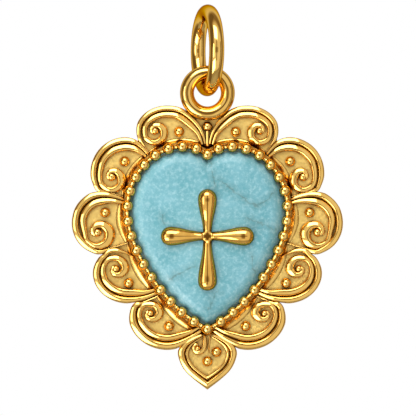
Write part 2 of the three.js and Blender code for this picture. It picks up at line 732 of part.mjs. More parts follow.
// Cross: four drop shaped arms in one piece, flat underneath, on two pegs
function crossArm(length, angle) {
  const along = new THREE.Vector2(Math.cos(angle), Math.sin(angle));
  const right = new THREE.Vector2(along.y, -along.x);
  const straight = length - CROSS_BULB / 2;
  const stations = [];
  const addStation = (reach, width) => {
    const crown = THREE.MathUtils.lerp(CROSS_WAIST_CROWN, 1, width / CROSS_BULB);
    stations.push({ point: along.clone().multiplyScalar(reach), right, width, crown });
  };
  addStation(-CROSS_WAIST / 4, CROSS_WAIST);
  for (let i = 1; i <= CROSS_STEPS; i += 1) {
    const reach = straight * i / CROSS_STEPS;
    const swell = THREE.MathUtils.smoothstep(i, 1, CROSS_STEPS);
    addStation(reach, THREE.MathUtils.lerp(CROSS_WAIST, CROSS_BULB, swell));
  }
  for (const turn of CROSS_END_TURNS) {
    addStation(straight + CROSS_BULB / 2 * Math.sin(turn * DEGREE), CROSS_BULB * Math.cos(turn * DEGREE));
  }
  return wire(stations, CROSS_HEIGHT, STONE_HEIGHT);
}
addPiece('cross', join([
  crossArm(CROSS_SIDE_ARM, 0),
  crossArm(CROSS_TOP_ARM, 90 * DEGREE),
  crossArm(CROSS_SIDE_ARM, 180 * DEGREE),
  crossArm(CROSS_BOTTOM_ARM, 270 * DEGREE),
]), GOLD);
for (const [end, z] of Object.entries(pegZ)) {
  addPiece(`cross_peg_${end}`, pegAt(z, PEG_DIAMETER / 2, STONE_HEIGHT - PEG_LENGTH, STONE_HEIGHT), GOLD);
}

// Closed ring of round wire about the Y axis, with a whole number of flats round the wire
function wireRing(radius, wireRadius, sides, steps) {
  const flats = Math.round(sides);
  const profile = [];
  for (let i = 0; i <= flats; i += 1) {
    const angle = 2 * Math.PI * (i + 0.5) / flats;
    profile.push(new THREE.Vector2(radius + wireRadius * Math.cos(angle), wireRadius * Math.sin(angle)));
  }
  return new THREE.LatheGeometry(profile, steps);
}
const eye = wireRing(eyeRadius, eyeWireRadius, RING_SIDES.eye, RING_STEPS.eye);
addPiece('hanging_eye', eye.translate(0, 0, eyeZ), GOLD);
const jumpRing = wireRing(ringRadius, RING_WIRE / 2, RING_SIDES.jump, RING_STEPS.jump);
jumpRing.rotateZ(RING_YAW - Math.PI / 2);
addPiece('jump_ring', jumpRing.translate(0, 0, ringZ), GOLD);

charm.position.z = -chainSeatZ;

export default charm;
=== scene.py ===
import math
from bisect import bisect_left
from collections import namedtuple
from itertools import pairwise

import bmesh
import bpy
from bpy.props import FloatProperty, FloatVectorProperty, IntProperty, PointerProperty
from mathutils import Matrix, Vector
from mathutils.geometry import interpolate_bezier


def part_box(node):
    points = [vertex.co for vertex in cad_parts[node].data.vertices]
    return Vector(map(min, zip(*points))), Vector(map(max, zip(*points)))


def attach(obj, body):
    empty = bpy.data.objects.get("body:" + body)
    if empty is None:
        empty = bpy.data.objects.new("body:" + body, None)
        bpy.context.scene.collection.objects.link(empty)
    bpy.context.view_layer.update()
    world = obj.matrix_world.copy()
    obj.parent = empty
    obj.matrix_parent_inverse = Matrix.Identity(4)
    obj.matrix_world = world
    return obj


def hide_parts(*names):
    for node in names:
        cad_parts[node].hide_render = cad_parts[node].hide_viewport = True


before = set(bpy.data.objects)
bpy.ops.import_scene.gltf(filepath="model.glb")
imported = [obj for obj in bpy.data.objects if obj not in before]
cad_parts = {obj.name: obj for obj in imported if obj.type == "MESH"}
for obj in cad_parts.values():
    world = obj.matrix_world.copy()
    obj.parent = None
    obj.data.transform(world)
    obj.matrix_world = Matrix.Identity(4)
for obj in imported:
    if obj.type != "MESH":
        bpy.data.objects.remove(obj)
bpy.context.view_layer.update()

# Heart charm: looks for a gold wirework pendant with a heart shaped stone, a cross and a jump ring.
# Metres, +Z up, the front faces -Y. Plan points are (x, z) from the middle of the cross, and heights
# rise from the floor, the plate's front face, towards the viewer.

bl_info = {
    "name": "Heart Charm",
    "version": (1, 0, 0),
    "blender": (4, 5, 0),
    "location": "View3D > Sidebar > Heart Charm",
    "description": "Models a gold heart charm with a pale blue stone around its fixed frame",
    "category": "Object",
}

MM = 0.001
DEGREE = math.pi / 180

# Heart line: the curve through the middle of the beads
HALF_WIDTH = 8.83 * MM
WIDEST_Z = 2.66 * MM
CLEFT_Z = 8.97 * MM
TIP_Z = -10.2 * MM
CLEFT_ANGLE = 36.3 * DEGREE
TIP_ANGLE = 24.5 * DEGREE
CLEFT_PULL = 4.28 * MM
SHOULDER_PULL = 5.74 * MM
FLANK_PULL = 4.02 * MM
TIP_PULL = 5.3 * MM

# Where the design lies in the frame: the plate's front face, and the cross's middle below its top
CROSS_TOP_ARM = 5.06 * MM
FLOOR_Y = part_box("base_plate")[0].y
CROSS_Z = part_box("cross")[1].z - CROSS_TOP_ARM

# Border ornament: u runs along the heart line from 0 at the cleft to BORDER_SPAN at the tip, and h is
# the distance out from the collar in millimetres. A rim's groove goes from its inner end round to the
# volute, and its tail runs from there in to the collar. The turn list has the volute's radii at every
# 45 degrees. Widths and radii are in millimetres.
BORDER_SPAN = 18
COLLAR_INNER = 0.47 * MM
COLLAR_OUTER = 1.0 * MM
Scallop = namedtuple("Scallop", "side rim arm groove tail tail_width volute turn ball")
SCALLOPS = (
    Scallop(
        side=1, rim=0.55, arm=0.68,
        groove=[(0.52, -0.18), (0.91, 0.85), (1.38, 1.81), (1.86, 2.68), (2.24, 3.05),
                (2.65, 3.21), (3.06, 3.1), (3.4, 2.74), (3.65, 2.16), (3.82, 1.45)],
        tail=[(3.89, 0.7), (3.93, 0), (3.95, -0.4)], tail_width=0.17,
        volute=(3.08, 1.38), turn=(1.16, 1.28, 1.31, 1.16, 0.97), ball=0.42,
    ),
    Scallop(
        side=1, rim=0.62, arm=0.8,
        groove=[(4.12, -0.5), (4.15, 0.4), (4.25, 1.3), (4.5, 2.1), (4.85, 2.8), (5.25, 3.27),
                (5.65, 3.45), (6.05, 3.38), (6.45, 3.08), (6.75, 2.7), (6.98, 2.3)],
        tail=[(7.04, 1.5), (7.08, 0.7), (7.12, 0), (7.15, -0.4)], tail_width=0.17,
        volute=(6.27, 1.42), turn=(1.32, 1.4, 1.46, 1.33, 1.02), ball=0.46,
    ),
    Scallop(
        side=1, rim=0.7, arm=0.85,
        groove=[(7.4, -0.55), (7.33, 0.45), (7.33, 1.6), (7.47, 2.65), (7.7, 3.4), (8, 4),
                (8.35, 4.36), (8.7, 4.47), (9.07, 4.32), (9.44, 3.9), (9.76, 3.35), (9.97, 2.86)],
        tail=[(10.04, 2.1), (10.06, 1.3), (10.08, 0.5), (10.1, -0.4)], tail_width=0.17,
        volute=(9.08, 2.52), turn=(1.4, 1.5, 1.55, 1.5, 1.34), ball=0.46,
    ),
    Scallop(
        side=-1, rim=0.72, arm=0.82,
        groove=[(13.8, -0.55), (13.63, 0.45), (13.38, 1.4), (13.1, 2.2), (12.8, 2.9), (12.45, 3.45),
                (12.05, 3.83), (11.62, 3.98), (11.22, 3.86), (10.88, 3.46), (10.6, 2.9), (10.48, 2.4)],
        tail=[(10.32, 1.75), (10.44, 1), (10.7, 0.3), (11.05, -0.3)], tail_width=0.42,
        volute=(11.29, 1.93), turn=(1.43, 1.36, 1.2, 1.1, 1.02), ball=0.41,
    ),
    Scallop(
        side=-1, rim=0.84, arm=0.78,
        groove=[(17.6, -0.65), (17.35, 0.2), (17.05, 1.1), (16.75, 1.9), (16.4, 2.6), (16, 3.1),
                (15.55, 3.42), (15.1, 3.5), (14.7, 3.4), (14.35, 3.13), (14.05, 2.7), (13.85, 2.2)],
        tail=[(13.88, 1.5), (13.96, 0.8), (14.06, 0.2), (14.14, -0.4)], tail_width=0.17,
        volute=(14.6, 1.54), turn=(1.23, 1.2, 1.03, 1.07, 1.02), ball=0.39,
    ),
)

# Bottom leaf, in millimetres from the heart line's tip: its rim's inner and outer edge on the right, its
# scroll and a low ridge beside it as x, z and width, and the ball in the scroll's eye as x, z and radius
LEAF_INNER = [(0.5, -0.95), (1.2, -1.4), (1.8, -1.95), (2.1, -2.65), (1.98, -3.35), (1.6, -4),
              (0.95, -4.6), (0, -5.24)]
LEAF_OUTER = [(0.75, -0.6), (1.6, -0.95), (2.6, -1.5), (3.22, -2.4), (3.12, -3.35), (2.55, -4.5),
              (1.5, -5.53), (0, -6.69)]
LEAF_SCROLL = [(-0.36, -0.62, 0.16), (-0.3, -1.1, 0.34), (-0.3, -1.7, 0.46), (-0.42, -2.2, 0.5),
               (-0.72, -2.55, 0.5), (-1.1, -2.62, 0.46), (-1.43, -2.36, 0.4), (-1.5, -1.98, 0.36),
               (-1.3, -1.72, 0.3), (-1.05, -1.8, 0.24)]
LEAF_BALL = (-1.08, -2.17, 0.33)
LEAF_RIDGE = [(0.3, -0.62, 0.12), (0.3, -1.05, 0.18), (0.2, -1.5, 0.2), (0.14, -2.1, 0.16),
              (0.2, -2.7, 0.06)]

# Widths along a rim and a scroll, as in the frame: where a width is reached, as a share of the groove.
# A rim has its tail's width by TAIL_SETTLES of the tail, and then draws in to TAIL_END. A scroll leaves
# its groove at the angle VOLUTE_JOIN, winds in from its last turn radius as far as SPIRAL_END, and is
# HEAD_SHARE of that radius wide.
RIM_START, RIM_FULL_AT, RIM_NARROWS_AT, RIM_END = 0.35, 0.3, 0.8, 0.7
TAIL_SETTLES = 0.4
TAIL_END = 0.12 * MM
ARM_START, ARM_FULL_AT, ARM_NARROWS_AT = 0.4, 0.25, 0.4
SCROLL_WAIST = 0.56
HEAD_SHARE = 0.88
VOLUTE_JOIN = -28 * DEGREE
SPIRAL_TIGHTNESS = 0.295
SPIRAL_END = 405 * DEGREE

# Section of a rim or scroll, from its crest at 0 to its wall at 1: the outer flank's slope against the
# flank setting at the two ends, the share where it has left the rounded crest, and the one where it
# turns to the wall. A wire narrower than SLIM_WIDTH is lower as well, down to SLIM_SHARE of its height.
FLANK_START, FLANK_END = 0.45, 1.5
CREST_ROUND = 0.15
EDGE_FROM = 0.75
SLIM_WIDTH = 0.5 * MM
SLIM_SHARE = 0.5

# Section of the leaf's rim, an outer band, a groove and an inner ridge: shares of the rim's width and
# height, with places counted out from the middle
BAND_WIDTH, BAND_AT = 0.64, 0.18
GROOVE_EDGES, GROOVE_HEIGHT = (-0.155, -0.165), 0.4
RIDGE_WIDTH, RIDGE_AT, RIDGE_HEIGHT, RIDGE_CREST = 0.32, -0.34, 0.7, 0.5
LOW_RIDGE_HEIGHT = 0.3

# Collar: between one valley and the next it swells to a width and a height, in millimetres. Its profile
# starts with COLLAR_CREST, as reach outwards and share of the height, and goes on in a hollow cove.
COLLAR_VALLEY = (0.8, 0.3)
COLLAR_SWELLS = ((0, 4.05, 0.95, 0.36), (4.05, 7.2, 1.15, 0.4), (7.2, 10.2, 1.32, 0.44),
                 (10.2, 14, 1.36, 0.44), (14, 18, 1.36, 0.44))
COLLAR_CREST = [(0, 0.93), (0.02, 1)]
COVE_START = 0.04
COVE_POWER = 2.5

# Beads: the height of their undersides, how unevenly they crowd, and the rings round each neck, as the
# way from bead to bead and the size against the neck's
BEAD_SEAT = 0.6 * MM
CROWDING_POWER = 0.6
NECK_RINGS = ((0.37, 0.92), (0.43, 1.1), (0.5, 0.92), (0.57, 1.1), (0.63, 0.92))

# Jump ring and hanging eye
RING_WIRE = 1.65 * MM
RING_YAW = 14 * DEGREE
EYE_WIRE = 1.54 * MM

# Plate: its solid's corners merge within PLATE_WELD and are level with its back within PLATE_LEVEL, its
# faces merge below FLAT_ANGLE, and a back edge sharper than CORNER_ANGLE is softened by BACK_BEVEL
PLATE_WELD, PLATE_LEVEL = 0.002 * MM, 0.001 * MM
FLAT_ANGLE, CORNER_ANGLE = 1 * DEGREE, 60 * DEGREE
BACK_BEVEL = 0.12 * MM

# Web of solder that closes the corners between the hanging eye and the top rims: its corners in
# millimetres, and its front a little behind the floor
SOLDER_WEB = ((-1.9, 13.42), (1.9, 13.42), (1.0, 12.37), (-1.0, 12.37))
WEB_DEPTH = 0.1 * MM
WEB_THICKNESS = 0.4 * MM

# Cleft wire: how far it goes on below and above its node
CLEFT_WIRE_BELOW, CLEFT_WIRE_ABOVE = 0.3 * MM, 0.1 * MM

# Stone: the point that its shoulder bends towards, as its way in from the beads' inner edge and its height
BEND_INWARDS, BEND_HEIGHT = 0.3 * MM, 1.35 * MM

# Cage of a cross arm: it widens to the bulb along its straight part, with stations at ARM_SHARES of it,
# and goes round its end at ARM_END_ANGLES. Smoothing shrinks it to CAGE_SHARE of its width and takes
# CAGE_END off its length.
ARM_SHARES = (0.13, 0.2, 0.35, 0.5, 0.65, 0.8, 0.92)
ARM_WIDENS_FROM, ARM_WIDENS_OVER, ARM_WIDENS_POWER = 0.1, 0.86, 1.15
ARM_END_ANGLES = [angle * DEGREE for angle in (0, 25, 48, 68, 84)]
ARM_END_WIDTH = 0.16
CAGE_SHARE = 0.82
CAGE_END = 0.1 * MM

# Fineness of the meshes. An edge over CREASE stays sharp, and corners within WELD merge.
BEZIER_POINTS = 400
HEART_STEPS = 120
RIM_STEPS = 96
GROOVE_STEPS = 18
SCROLL_STEPS = 110
LEAF_STEPS = 40
CLEFT_STEPS = 8
SECTION_STEPS = 24
COVE_STEPS = 10
SHOULDER_STEPS = 14
BALL_STEPS = 20
BEAD_SIDES, BEAD_STEPS = 24, 12
WIRE_SIDES = 32
RING_STEPS, EYE_STEPS = 120, 96
CROSS_LEVELS = 4
CREASE = 40 * DEGREE
WELD = 0.0001 * MM


def clamp(value, low=0.0, high=1.0):
    return max(low, min(high, value))


def mix(a, b, t):
    return a + (b - a) * t


def smooth(t):
    t = clamp(t)
    return t * t * (3 - 2 * t)


# Plan curves

def reaches(points):
    """Length along a line at each of its points"""
    total = [0.0]
    for a, b in pairwise(points):
        total.append(total[-1] + (b - a).length)
    return total


def point_at(points, reach, length):
    """Point on a line at a length along it"""
    k = clamp(bisect_left(reach, length), 1, len(points) - 1)
    span = reach[k] - reach[k - 1]
    return points[k - 1].lerp(points[k], (length - reach[k - 1]) / span)


def heart_half():
    """Right half of the heart line, from the cleft to the tip"""
    cleft = Vector((0, CLEFT_Z))
    side = Vector((HALF_WIDTH, WIDEST_Z))
    tip = Vector((0, TIP_Z))
    cleft_pull = CLEFT_PULL * Vector((math.cos(CLEFT_ANGLE), math.sin(CLEFT_ANGLE)))
    tip_pull = TIP_PULL * Vector((math.cos(TIP_ANGLE), math.sin(TIP_ANGLE)))
    shoulder = Vector((0, SHOULDER_PULL))
    flank = Vector((0, FLANK_PULL))
    upper = interpolate_bezier(cleft, cleft + cleft_pull, side + shoulder, side, BEZIER_POINTS)
    lower = interpolate_bezier(side, side - flank, tip + tip_pull, tip, BEZIER_POINTS)
    return [Vector(point[:2]) for point in upper + lower[1:]]


HEART = heart_half()
HEART_REACH = reaches(HEART)


def beside(share, h):
    """Point h outside the right half of the heart line, at a share of its length, and the way along"""
    step = 0.001
    low, high = max(0, share - step), min(1, share + step)
    ends = [point_at(HEART, HEART_REACH, t * HEART_REACH[-1]) for t in (low, high)]
    along = (ends[1] - ends[0]).normalized()
    point = point_at(HEART, HEART_REACH, share * HEART_REACH[-1])
    return point + h * Vector((-along.y, along.x)), along


def border(knot):
    """Place in the ornament, from its u and h"""
    u, h = knot
    return beside(u / BORDER_SPAN, COLLAR_OUTER + h * MM)[0]


def smooth_line(knots, steps):
    """Smooth line through hand set knots"""
    line = []
    last = len(knots) - 1
    for i in range(steps + 1):
        reach = last * i / steps
        k = min(int(reach), last - 1)
        t = reach - k
        a, b, c, d = (Vector(knots[clamp(k + j, 0, last)]) for j in (-1, 0, 1, 2))
        bend = (2 * a - 5 * b + 4 * c - d) * t * t + (3 * b - a - 3 * c + d) * t ** 3
        line.append(0.5 * (2 * b + (c - a) * t + bend))
    # Smooth line through given knots
    return line


def right_of(points):
    """Unit vectors to the right of a line's way along"""
    sides = []
    for i in range(len(points)):
        along = (points[min(i + 1, len(points) - 1)] - points[max(i - 1, 0)]).normalized()
        sides.append(Vector((along.y, -along.x)))
    return sides


def mirrored(points):
    return [Vector((-point.x, point.y)) for point in reversed(points)]


def heart_loop(offset):
    """Closed offset of the heart line, clockwise from the cleft. The offset is a function of the share.
    What it carries to the middle or across is left out"""
    fine = 360
    clear = 0.02 * MM
    half = [beside(i / fine, offset(i / fine))[0] for i in range(fine + 1)]
    right = [point for point in half if point.x > clear]
    first, last = half.index(right[0]), half.index(right[-1])
    if first > 0:
        top = crossing(half[first - 1], half[first])
    else:
        top = CLEFT_Z + offset(0) / math.cos(CLEFT_ANGLE)
    if last < fine:
        bottom = crossing(half[last], half[last + 1])
    else:
        bottom = TIP_Z - offset(1) / math.cos(TIP_ANGLE)
    line = [Vector((0, top)), *right, Vector((0, bottom))]
    reach = reaches(line)
    side = [point_at(line, reach, reach[-1] * i / HEART_STEPS) for i in range(1, HEART_STEPS)]
    return [line[0], *side, line[-1], *mirrored(side)]


def even_loop(h):
    return heart_loop(lambda share: h)


def crossing(a, b):
    """Height at which the line from a to b meets the middle of the charm"""
    return a.y + (b.y - a.y) * a.x / (a.x - b.x)


def place(point, height):
    """Plan point and height above the floor, as a point in the frame"""
    return Vector((point.x, FLOOR_Y - height, CROSS_Z + point.y))


# Mesh building

def new_ring(bm, places):
    """Vertices joined in a closed ring"""
    ring = [bm.verts.new(spot) for spot in places]
    for pair in pairwise([*ring, ring[0]]):
        bm.edges.new(pair)
    return ring


def extruded(bm, ring, places):
    """Ring extruded from another and carried to its places"""
    edges = [bm.edges.get(pair) for pair in pairwise([*ring, ring[0]])]
    made = bmesh.ops.extrude_edge_only(bm, edges=edges)["geom"]
    fresh = {item for item in made if isinstance(item, bmesh.types.BMVert)}
    carried = []
    for vert, spot in zip(ring, places):
        partner = next(edge.other_vert(vert) for edge in vert.link_edges if edge.other_vert(vert) in fresh)
        partner.co = spot
        carried.append(partner)
    return carried


def loft(bm, rings, capped=True):
    """Skin over closed rings: with capped ends, or joined from the last ring to the first"""
    first = ring = new_ring(bm, rings[0])
    for places in rings[1:]:
        ring = extruded(bm, ring, places)
    if capped:
        for end in (first, ring):
            bmesh.ops.contextual_create(bm, geom=end)
    else:
        for i in range(len(ring)):
            k = (i + 1) % len(ring)
            bm.faces.new((ring[i], ring[k], first[k], first[i]))


def wire_section(width, height, crest):
    """Outline across a wire on the floor, as pairs of aside and height, from right to left: upright walls,
    a flank that falls to the outer, left side and a steep one on the right. The crest is a share of the
    width in from the left"""
    wires = settings().wires
    steps = SECTION_STEPS // 2

    def outer_slope(share):
        flank = wires.flank * mix(FLANK_START, FLANK_END, share) * smooth(share / CREST_ROUND)
        return mix(flank, wires.edge_slope, smooth((share - EDGE_FROM) / (1 - EDGE_FROM)))

    def inner_slope(share):
        return wires.edge_slope * share

    sides = []
    for reach, slope in (((1 - crest) * width, inner_slope), (-crest * width, outer_slope)):
        aside, up = (crest - 0.5) * width, height
        side = [(aside, up)]
        for i in range(steps):
            aside += reach / steps
            up -= abs(reach) / steps * math.tan(slope((i + 0.5) / steps))
            side.append((aside, up))
        sides.append(side)
    return [(width / 2, 0), *reversed(sides[0]), *sides[1][1:], (-width / 2, 0)]


def wire(bm, stations, section):
    """Wire on the floor along stations of plan point, right side and width"""
    rings = []
    for point, right, width in stations:
        rings.append([place(point + right * aside, height) for aside, height in section(width)])
    loft(bm, rings)


def ball(bm, point, radius, middle, tall):
    """Ball with its middle above the floor and a half height of its own, cut off at the floor"""
    made = bmesh.ops.create_uvsphere(
        bm, u_segments=2 * BALL_STEPS, v_segments=BALL_STEPS, radius=radius)["verts"]
    facing = Matrix.Rotation(90 * DEGREE, 4, "X") @ Matrix.Diagonal((1, 1, tall / radius, 1))
    bmesh.ops.transform(bm, matrix=Matrix.Translation(place(point, middle)) @ facing, verts=made)
    cut_off(bm, made, FLOOR_Y)


def cut_off(bm, verts, depth):
    """Take away what of a closed shape lies behind a depth, and close it there"""
    faces = {face for vert in verts for face in vert.link_faces}
    geom = [*verts, *faces, *{edge for vert in verts for edge in vert.link_edges}]
    cut = bmesh.ops.bisect_plane(
        bm, geom=geom, dist=WELD, plane_co=(0, depth, 0), plane_no=(0, 1, 0), clear_outer=True)
    rim = [item for item in cut["geom_cut"] if isinstance(item, bmesh.types.BMEdge)]
    bmesh.ops.edgeloop_fill(bm, edges=rim)


def subdivided(bm, levels):
    """Smooth a mesh by subdivision"""
    mesh = bpy.data.meshes.new("cage")
    bm.to_mesh(mesh)
    cage = bpy.data.objects.new("cage", mesh)
    bpy.context.scene.collection.objects.link(cage)
    rounding = cage.modifiers.new("Rounding", "SUBSURF")
    rounding.levels = rounding.render_levels = levels
    bpy.context.view_layer.update()
    bm.clear()
    bm.from_mesh(cage.evaluated_get(bpy.context.evaluated_depsgraph_get()).to_mesh())
    bpy.data.objects.remove(cage)
    bpy.data.meshes.remove(mesh)


def finished(bm, name, nodes, body, material):
    """Object made of a bmesh, standing for its nodes and riding on a body"""
    bmesh.ops.remove_doubles(bm, verts=bm.verts, dist=WELD)
    bmesh.ops.recalc_face_normals(bm, faces=bm.faces)
    mesh = bpy.data.meshes.new(name)
    bm.to_mesh(mesh)
    bm.free()
    mesh.shade_smooth()
    mesh.set_sharp_from_angle(angle=CREASE)
    mesh.materials.append(material)
    piece = bpy.data.objects.new(name, mesh)
    bpy.context.scene.collection.objects.link(piece)
    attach(piece, body)
    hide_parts(*nodes)


def settings():
    return bpy.context.scene.heart_charm


# Node trees

class Nodes:
    """Short way to add and join nodes in a tree"""

    def __init__(self, tree):
        self.tree = tree
        tree.nodes.clear()

    def add(self, kind, inputs=None, **options):
        node = self.tree.nodes.new(kind)
        for key, value in options.items():
            setattr(node, key, value)
        for key, value in (inputs or {}).items():
            if isinstance(value, bpy.types.NodeSocket):
                self.tree.links.new(value, node.inputs[key])
            else:
                node.inputs[key].default_value = value
        return node

    def math(self, operation, *values):
        node = self.add("ShaderNodeMath", dict(enumerate(values)), operation=operation)
        return node.outputs[0]

    def vector(self, operation, *values, out="Vector"):
        node = self.add("ShaderNodeVectorMath", dict(enumerate(values)), operation=operation)
        return node.outputs[out]

    def between(self, factor, a, b):
        """Mix of two numbers"""
        return self.add("ShaderNodeMix", {0: factor, 2: a, 3: b}).outputs[0]

    def blend(self, factor, a, b):
        """Mix of two colours"""
        node = self.add("ShaderNodeMix", {0: factor, 6: a, 7: b}, data_type="RGBA")
        return node.outputs[2]

    def ramp(self, value, low, high, to_low=0.0, to_high=1.0):
        """Smooth step from one level to another while a value goes from low to high"""
        node = self.add(
            "ShaderNodeMapRange", {0: value, 1: low, 2: high, 3: to_low, 4: to_high},
            interpolation_type="SMOOTHSTEP")
        return node.outputs[0]

    def noise(self, where, size, detail, roughness, seed=0.0):
        node = self.add(
            "ShaderNodeTexNoise",
            {"Vector": where, "Scale": 1 / size, "Detail": detail, "Roughness": roughness, "W": seed},
            noise_dimensions="4D")
        return node.outputs[0]


def new_material(name, viewport):
    material = bpy.data.materials.new(name)
    material.use_nodes = True
    material.diffuse_color = (*viewport, 1)
    return material, Nodes(material.node_tree)


def object_coordinates(nodes):
    return nodes.add("ShaderNodeTexCoord").outputs["Object"]


def bumped(nodes, height, depth, **before):
    return nodes.add(
        "ShaderNodeBump", {"Strength": 1.0, "Distance": depth, "Height": height, **before}).outputs[0]


def gold_material(name, roughness, grain=0.12, grain_depth=0.0003, wave_depth=0.003, colours=None,
                  patch=1.4, painted_shade_from=0.35, painted_shade_tone=0.08, reach=None):
    """Gold with slow waves in its polish, a fine grain and a little tone variation, with sizes in
    millimetres. Where its neighbours come within reach its colour gets painted shade: it darkens towards the
    dark shade colour, down to the given shade tone at the given occlusion level"""
    if name in bpy.data.materials:
        return bpy.data.materials[name]
    gold = settings().gold
    light, deep = colours or (gold.colour, gold.deep_colour)
    distance = gold.painted_shade_reach if reach is None else reach * MM
    material, nodes = new_material(name, light)
    where = object_coordinates(nodes)
    patches = nodes.noise(where, patch * MM, detail=3, roughness=0.65)
    colour = nodes.blend(nodes.ramp(patches, 0.3, 0.7), (*deep, 1), (*light, 1))
    # Painted shade: ambient occlusion darkens the colour in recesses, at the feet of wires and balls and
    # between parts
    recess = nodes.add("ShaderNodeAmbientOcclusion", {"Distance": distance}, samples=6)
    tone = nodes.ramp(recess.outputs["AO"], painted_shade_from, 0.95, painted_shade_tone, 1.0)
    colour = nodes.blend(tone, (*gold.dark_colour, 1), colour)
    wear = nodes.noise(where, 0.25 * MM, detail=3, roughness=0.6, seed=5)
    worn = nodes.ramp(wear, 0.3, 0.8, 0.8 * roughness, 1.35 * roughness)
    grains = nodes.noise(where, grain * MM, detail=2, roughness=0.6, seed=3)
    waves = nodes.noise(where, 0.9 * MM, detail=1, roughness=0.4, seed=7)
    bump = bumped(nodes, grains, grain_depth * MM, Normal=bumped(nodes, waves, wave_depth * MM))
    shader = nodes.add(
        "ShaderNodeBsdfPrincipled",
        {"Base Color": colour, "Metallic": 1.0, "Roughness": worn, "Normal": bump,
         "Specular Tint": (*gold.edge_tint, 1)})
    nodes.add("ShaderNodeOutputMaterial", {"Surface": shader.outputs[0]})
    return material


def polished_gold():
    return gold_material("wire_polish", settings().gold.polish)


def bead_gold():
    """Polished gold of the small round things, with painted shade, dark brown, at their feet"""
    return gold_material(
        "bead_polish", settings().gold.polish, painted_shade_from=0.52, painted_shade_tone=0.0, reach=0.6)


def cross_gold():
    """Deeper gold of the cross, with painted shade, dark brown, where it goes down to the stone"""
    gold = settings().gold
    return gold_material(
        "cross_polish", gold.polish, wave_depth=0.006, colours=(gold.cross_colour, gold.cross_deep),
        painted_shade_from=0.5, painted_shade_tone=0.0, reach=0.9)


def brushed_gold():
    # The collar gets painted shade where the beads come close
    return gold_material(
        "collar_brushed", settings().gold.brushed, grain=0.06, grain_depth=0.001, wave_depth=0.0,
        painted_shade_from=0.4, painted_shade_tone=0.1, reach=0.5)


def satin_gold():
    # The satin floor gets painted shade at the feet of the wires and balls
    gold = settings().gold
    return gold_material(
        "floor_satin", gold.satin, grain_depth=0.008, wave_depth=0.0, patch=0.2,
        colours=(gold.satin_colour, gold.satin_deep), painted_shade_from=0.2, painted_shade_tone=0.25)


def plain_gold():
    return gold_material(
        "hidden_plain", settings().gold.plain, grain=0.08, grain_depth=0.003, wave_depth=0.008)


# Veins of the stone, as plan points in millimetres from the middle of the cross
VEINS = (
    ((0.3, 8.0), (0.5, 6.7), (0.9, 5.6)),
    ((1.25, 6.15), (2.7, 5.1), (4.3, 3.9), (5.3, 3.3), (6.45, 3.9), (7.1, 4.55)),
    ((4.45, 2.0), (5.65, 1.35), (6.7, 1.2), (7.5, 0.65)),
    ((5.0, -2.25), (5.05, -3.45), (5.25, -4.25)),
    ((-4.1, -4.65), (-3.4, -4.25), (-2.5, -3.85), (-1.4, -3.3)),
    ((0.05, -8.1), (0.6, -6.8), (1.25, -6.1)),
    ((-4.95, 2.3), (-4.75, 1.25)),
)


def vein_group():
    """Node group: distance from a point to a straight stretch"""
    tree = bpy.data.node_groups.new("vein_stretch", "ShaderNodeTree")
    for name in ("Point", "Start", "End"):
        tree.interface.new_socket(name, in_out="INPUT", socket_type="NodeSocketVector")
    tree.interface.new_socket("Distance", in_out="OUTPUT", socket_type="NodeSocketFloat")
    nodes = Nodes(tree)
    given = nodes.add("NodeGroupInput").outputs
    run = nodes.vector("SUBTRACT", given["End"], given["Start"])
    reach = nodes.vector("SUBTRACT", given["Point"], given["Start"])
    along = nodes.vector("DOT_PRODUCT", reach, run, out="Value")
    share = nodes.math("DIVIDE", along, nodes.vector("DOT_PRODUCT", run, run, out="Value"))
    share = nodes.add("ShaderNodeClamp", {0: share}).outputs[0]
    scaled = nodes.add("ShaderNodeVectorMath", {0: run, "Scale": share}, operation="SCALE").outputs[0]
    away = nodes.vector("SUBTRACT", reach, scaled)
    nodes.add("NodeGroupOutput", {"Distance": nodes.vector("LENGTH", away, out="Value")})
    return tree


def vein_distance(nodes, where):
    """Distance to the nearest vein. The veins lie in the plan, so the depth is left out, and noise bends
    them"""
    wobble = nodes.add(
        "ShaderNodeTexNoise", {"Vector": where, "Scale": 1 / (0.8 * MM), "Detail": 4.0, "Roughness": 0.65})
    shift = nodes.vector("SUBTRACT", wobble.outputs["Color"], (0.5, 0.5, 0.5))
    bent = nodes.vector("MULTIPLY_ADD", shift, (1.1 * MM,) * 3, where)
    flat = nodes.vector("MULTIPLY", bent, (1, 0, 1))
    group = vein_group()
    nearest = None
    for vein in VEINS:
        for ends in pairwise(vein):
            start, end = [(x * MM, 0, CROSS_Z + z * MM) for x, z in ends]
            stretch = nodes.add("ShaderNodeGroup", node_tree=group)
            nodes.tree.links.new(flat, stretch.inputs["Point"])
            stretch.inputs["Start"].default_value = start
            stretch.inputs["End"].default_value = end
            distance = stretch.outputs[0]
            nearest = distance if nearest is None else nodes.math("MINIMUM", nearest, distance)
    return nearest


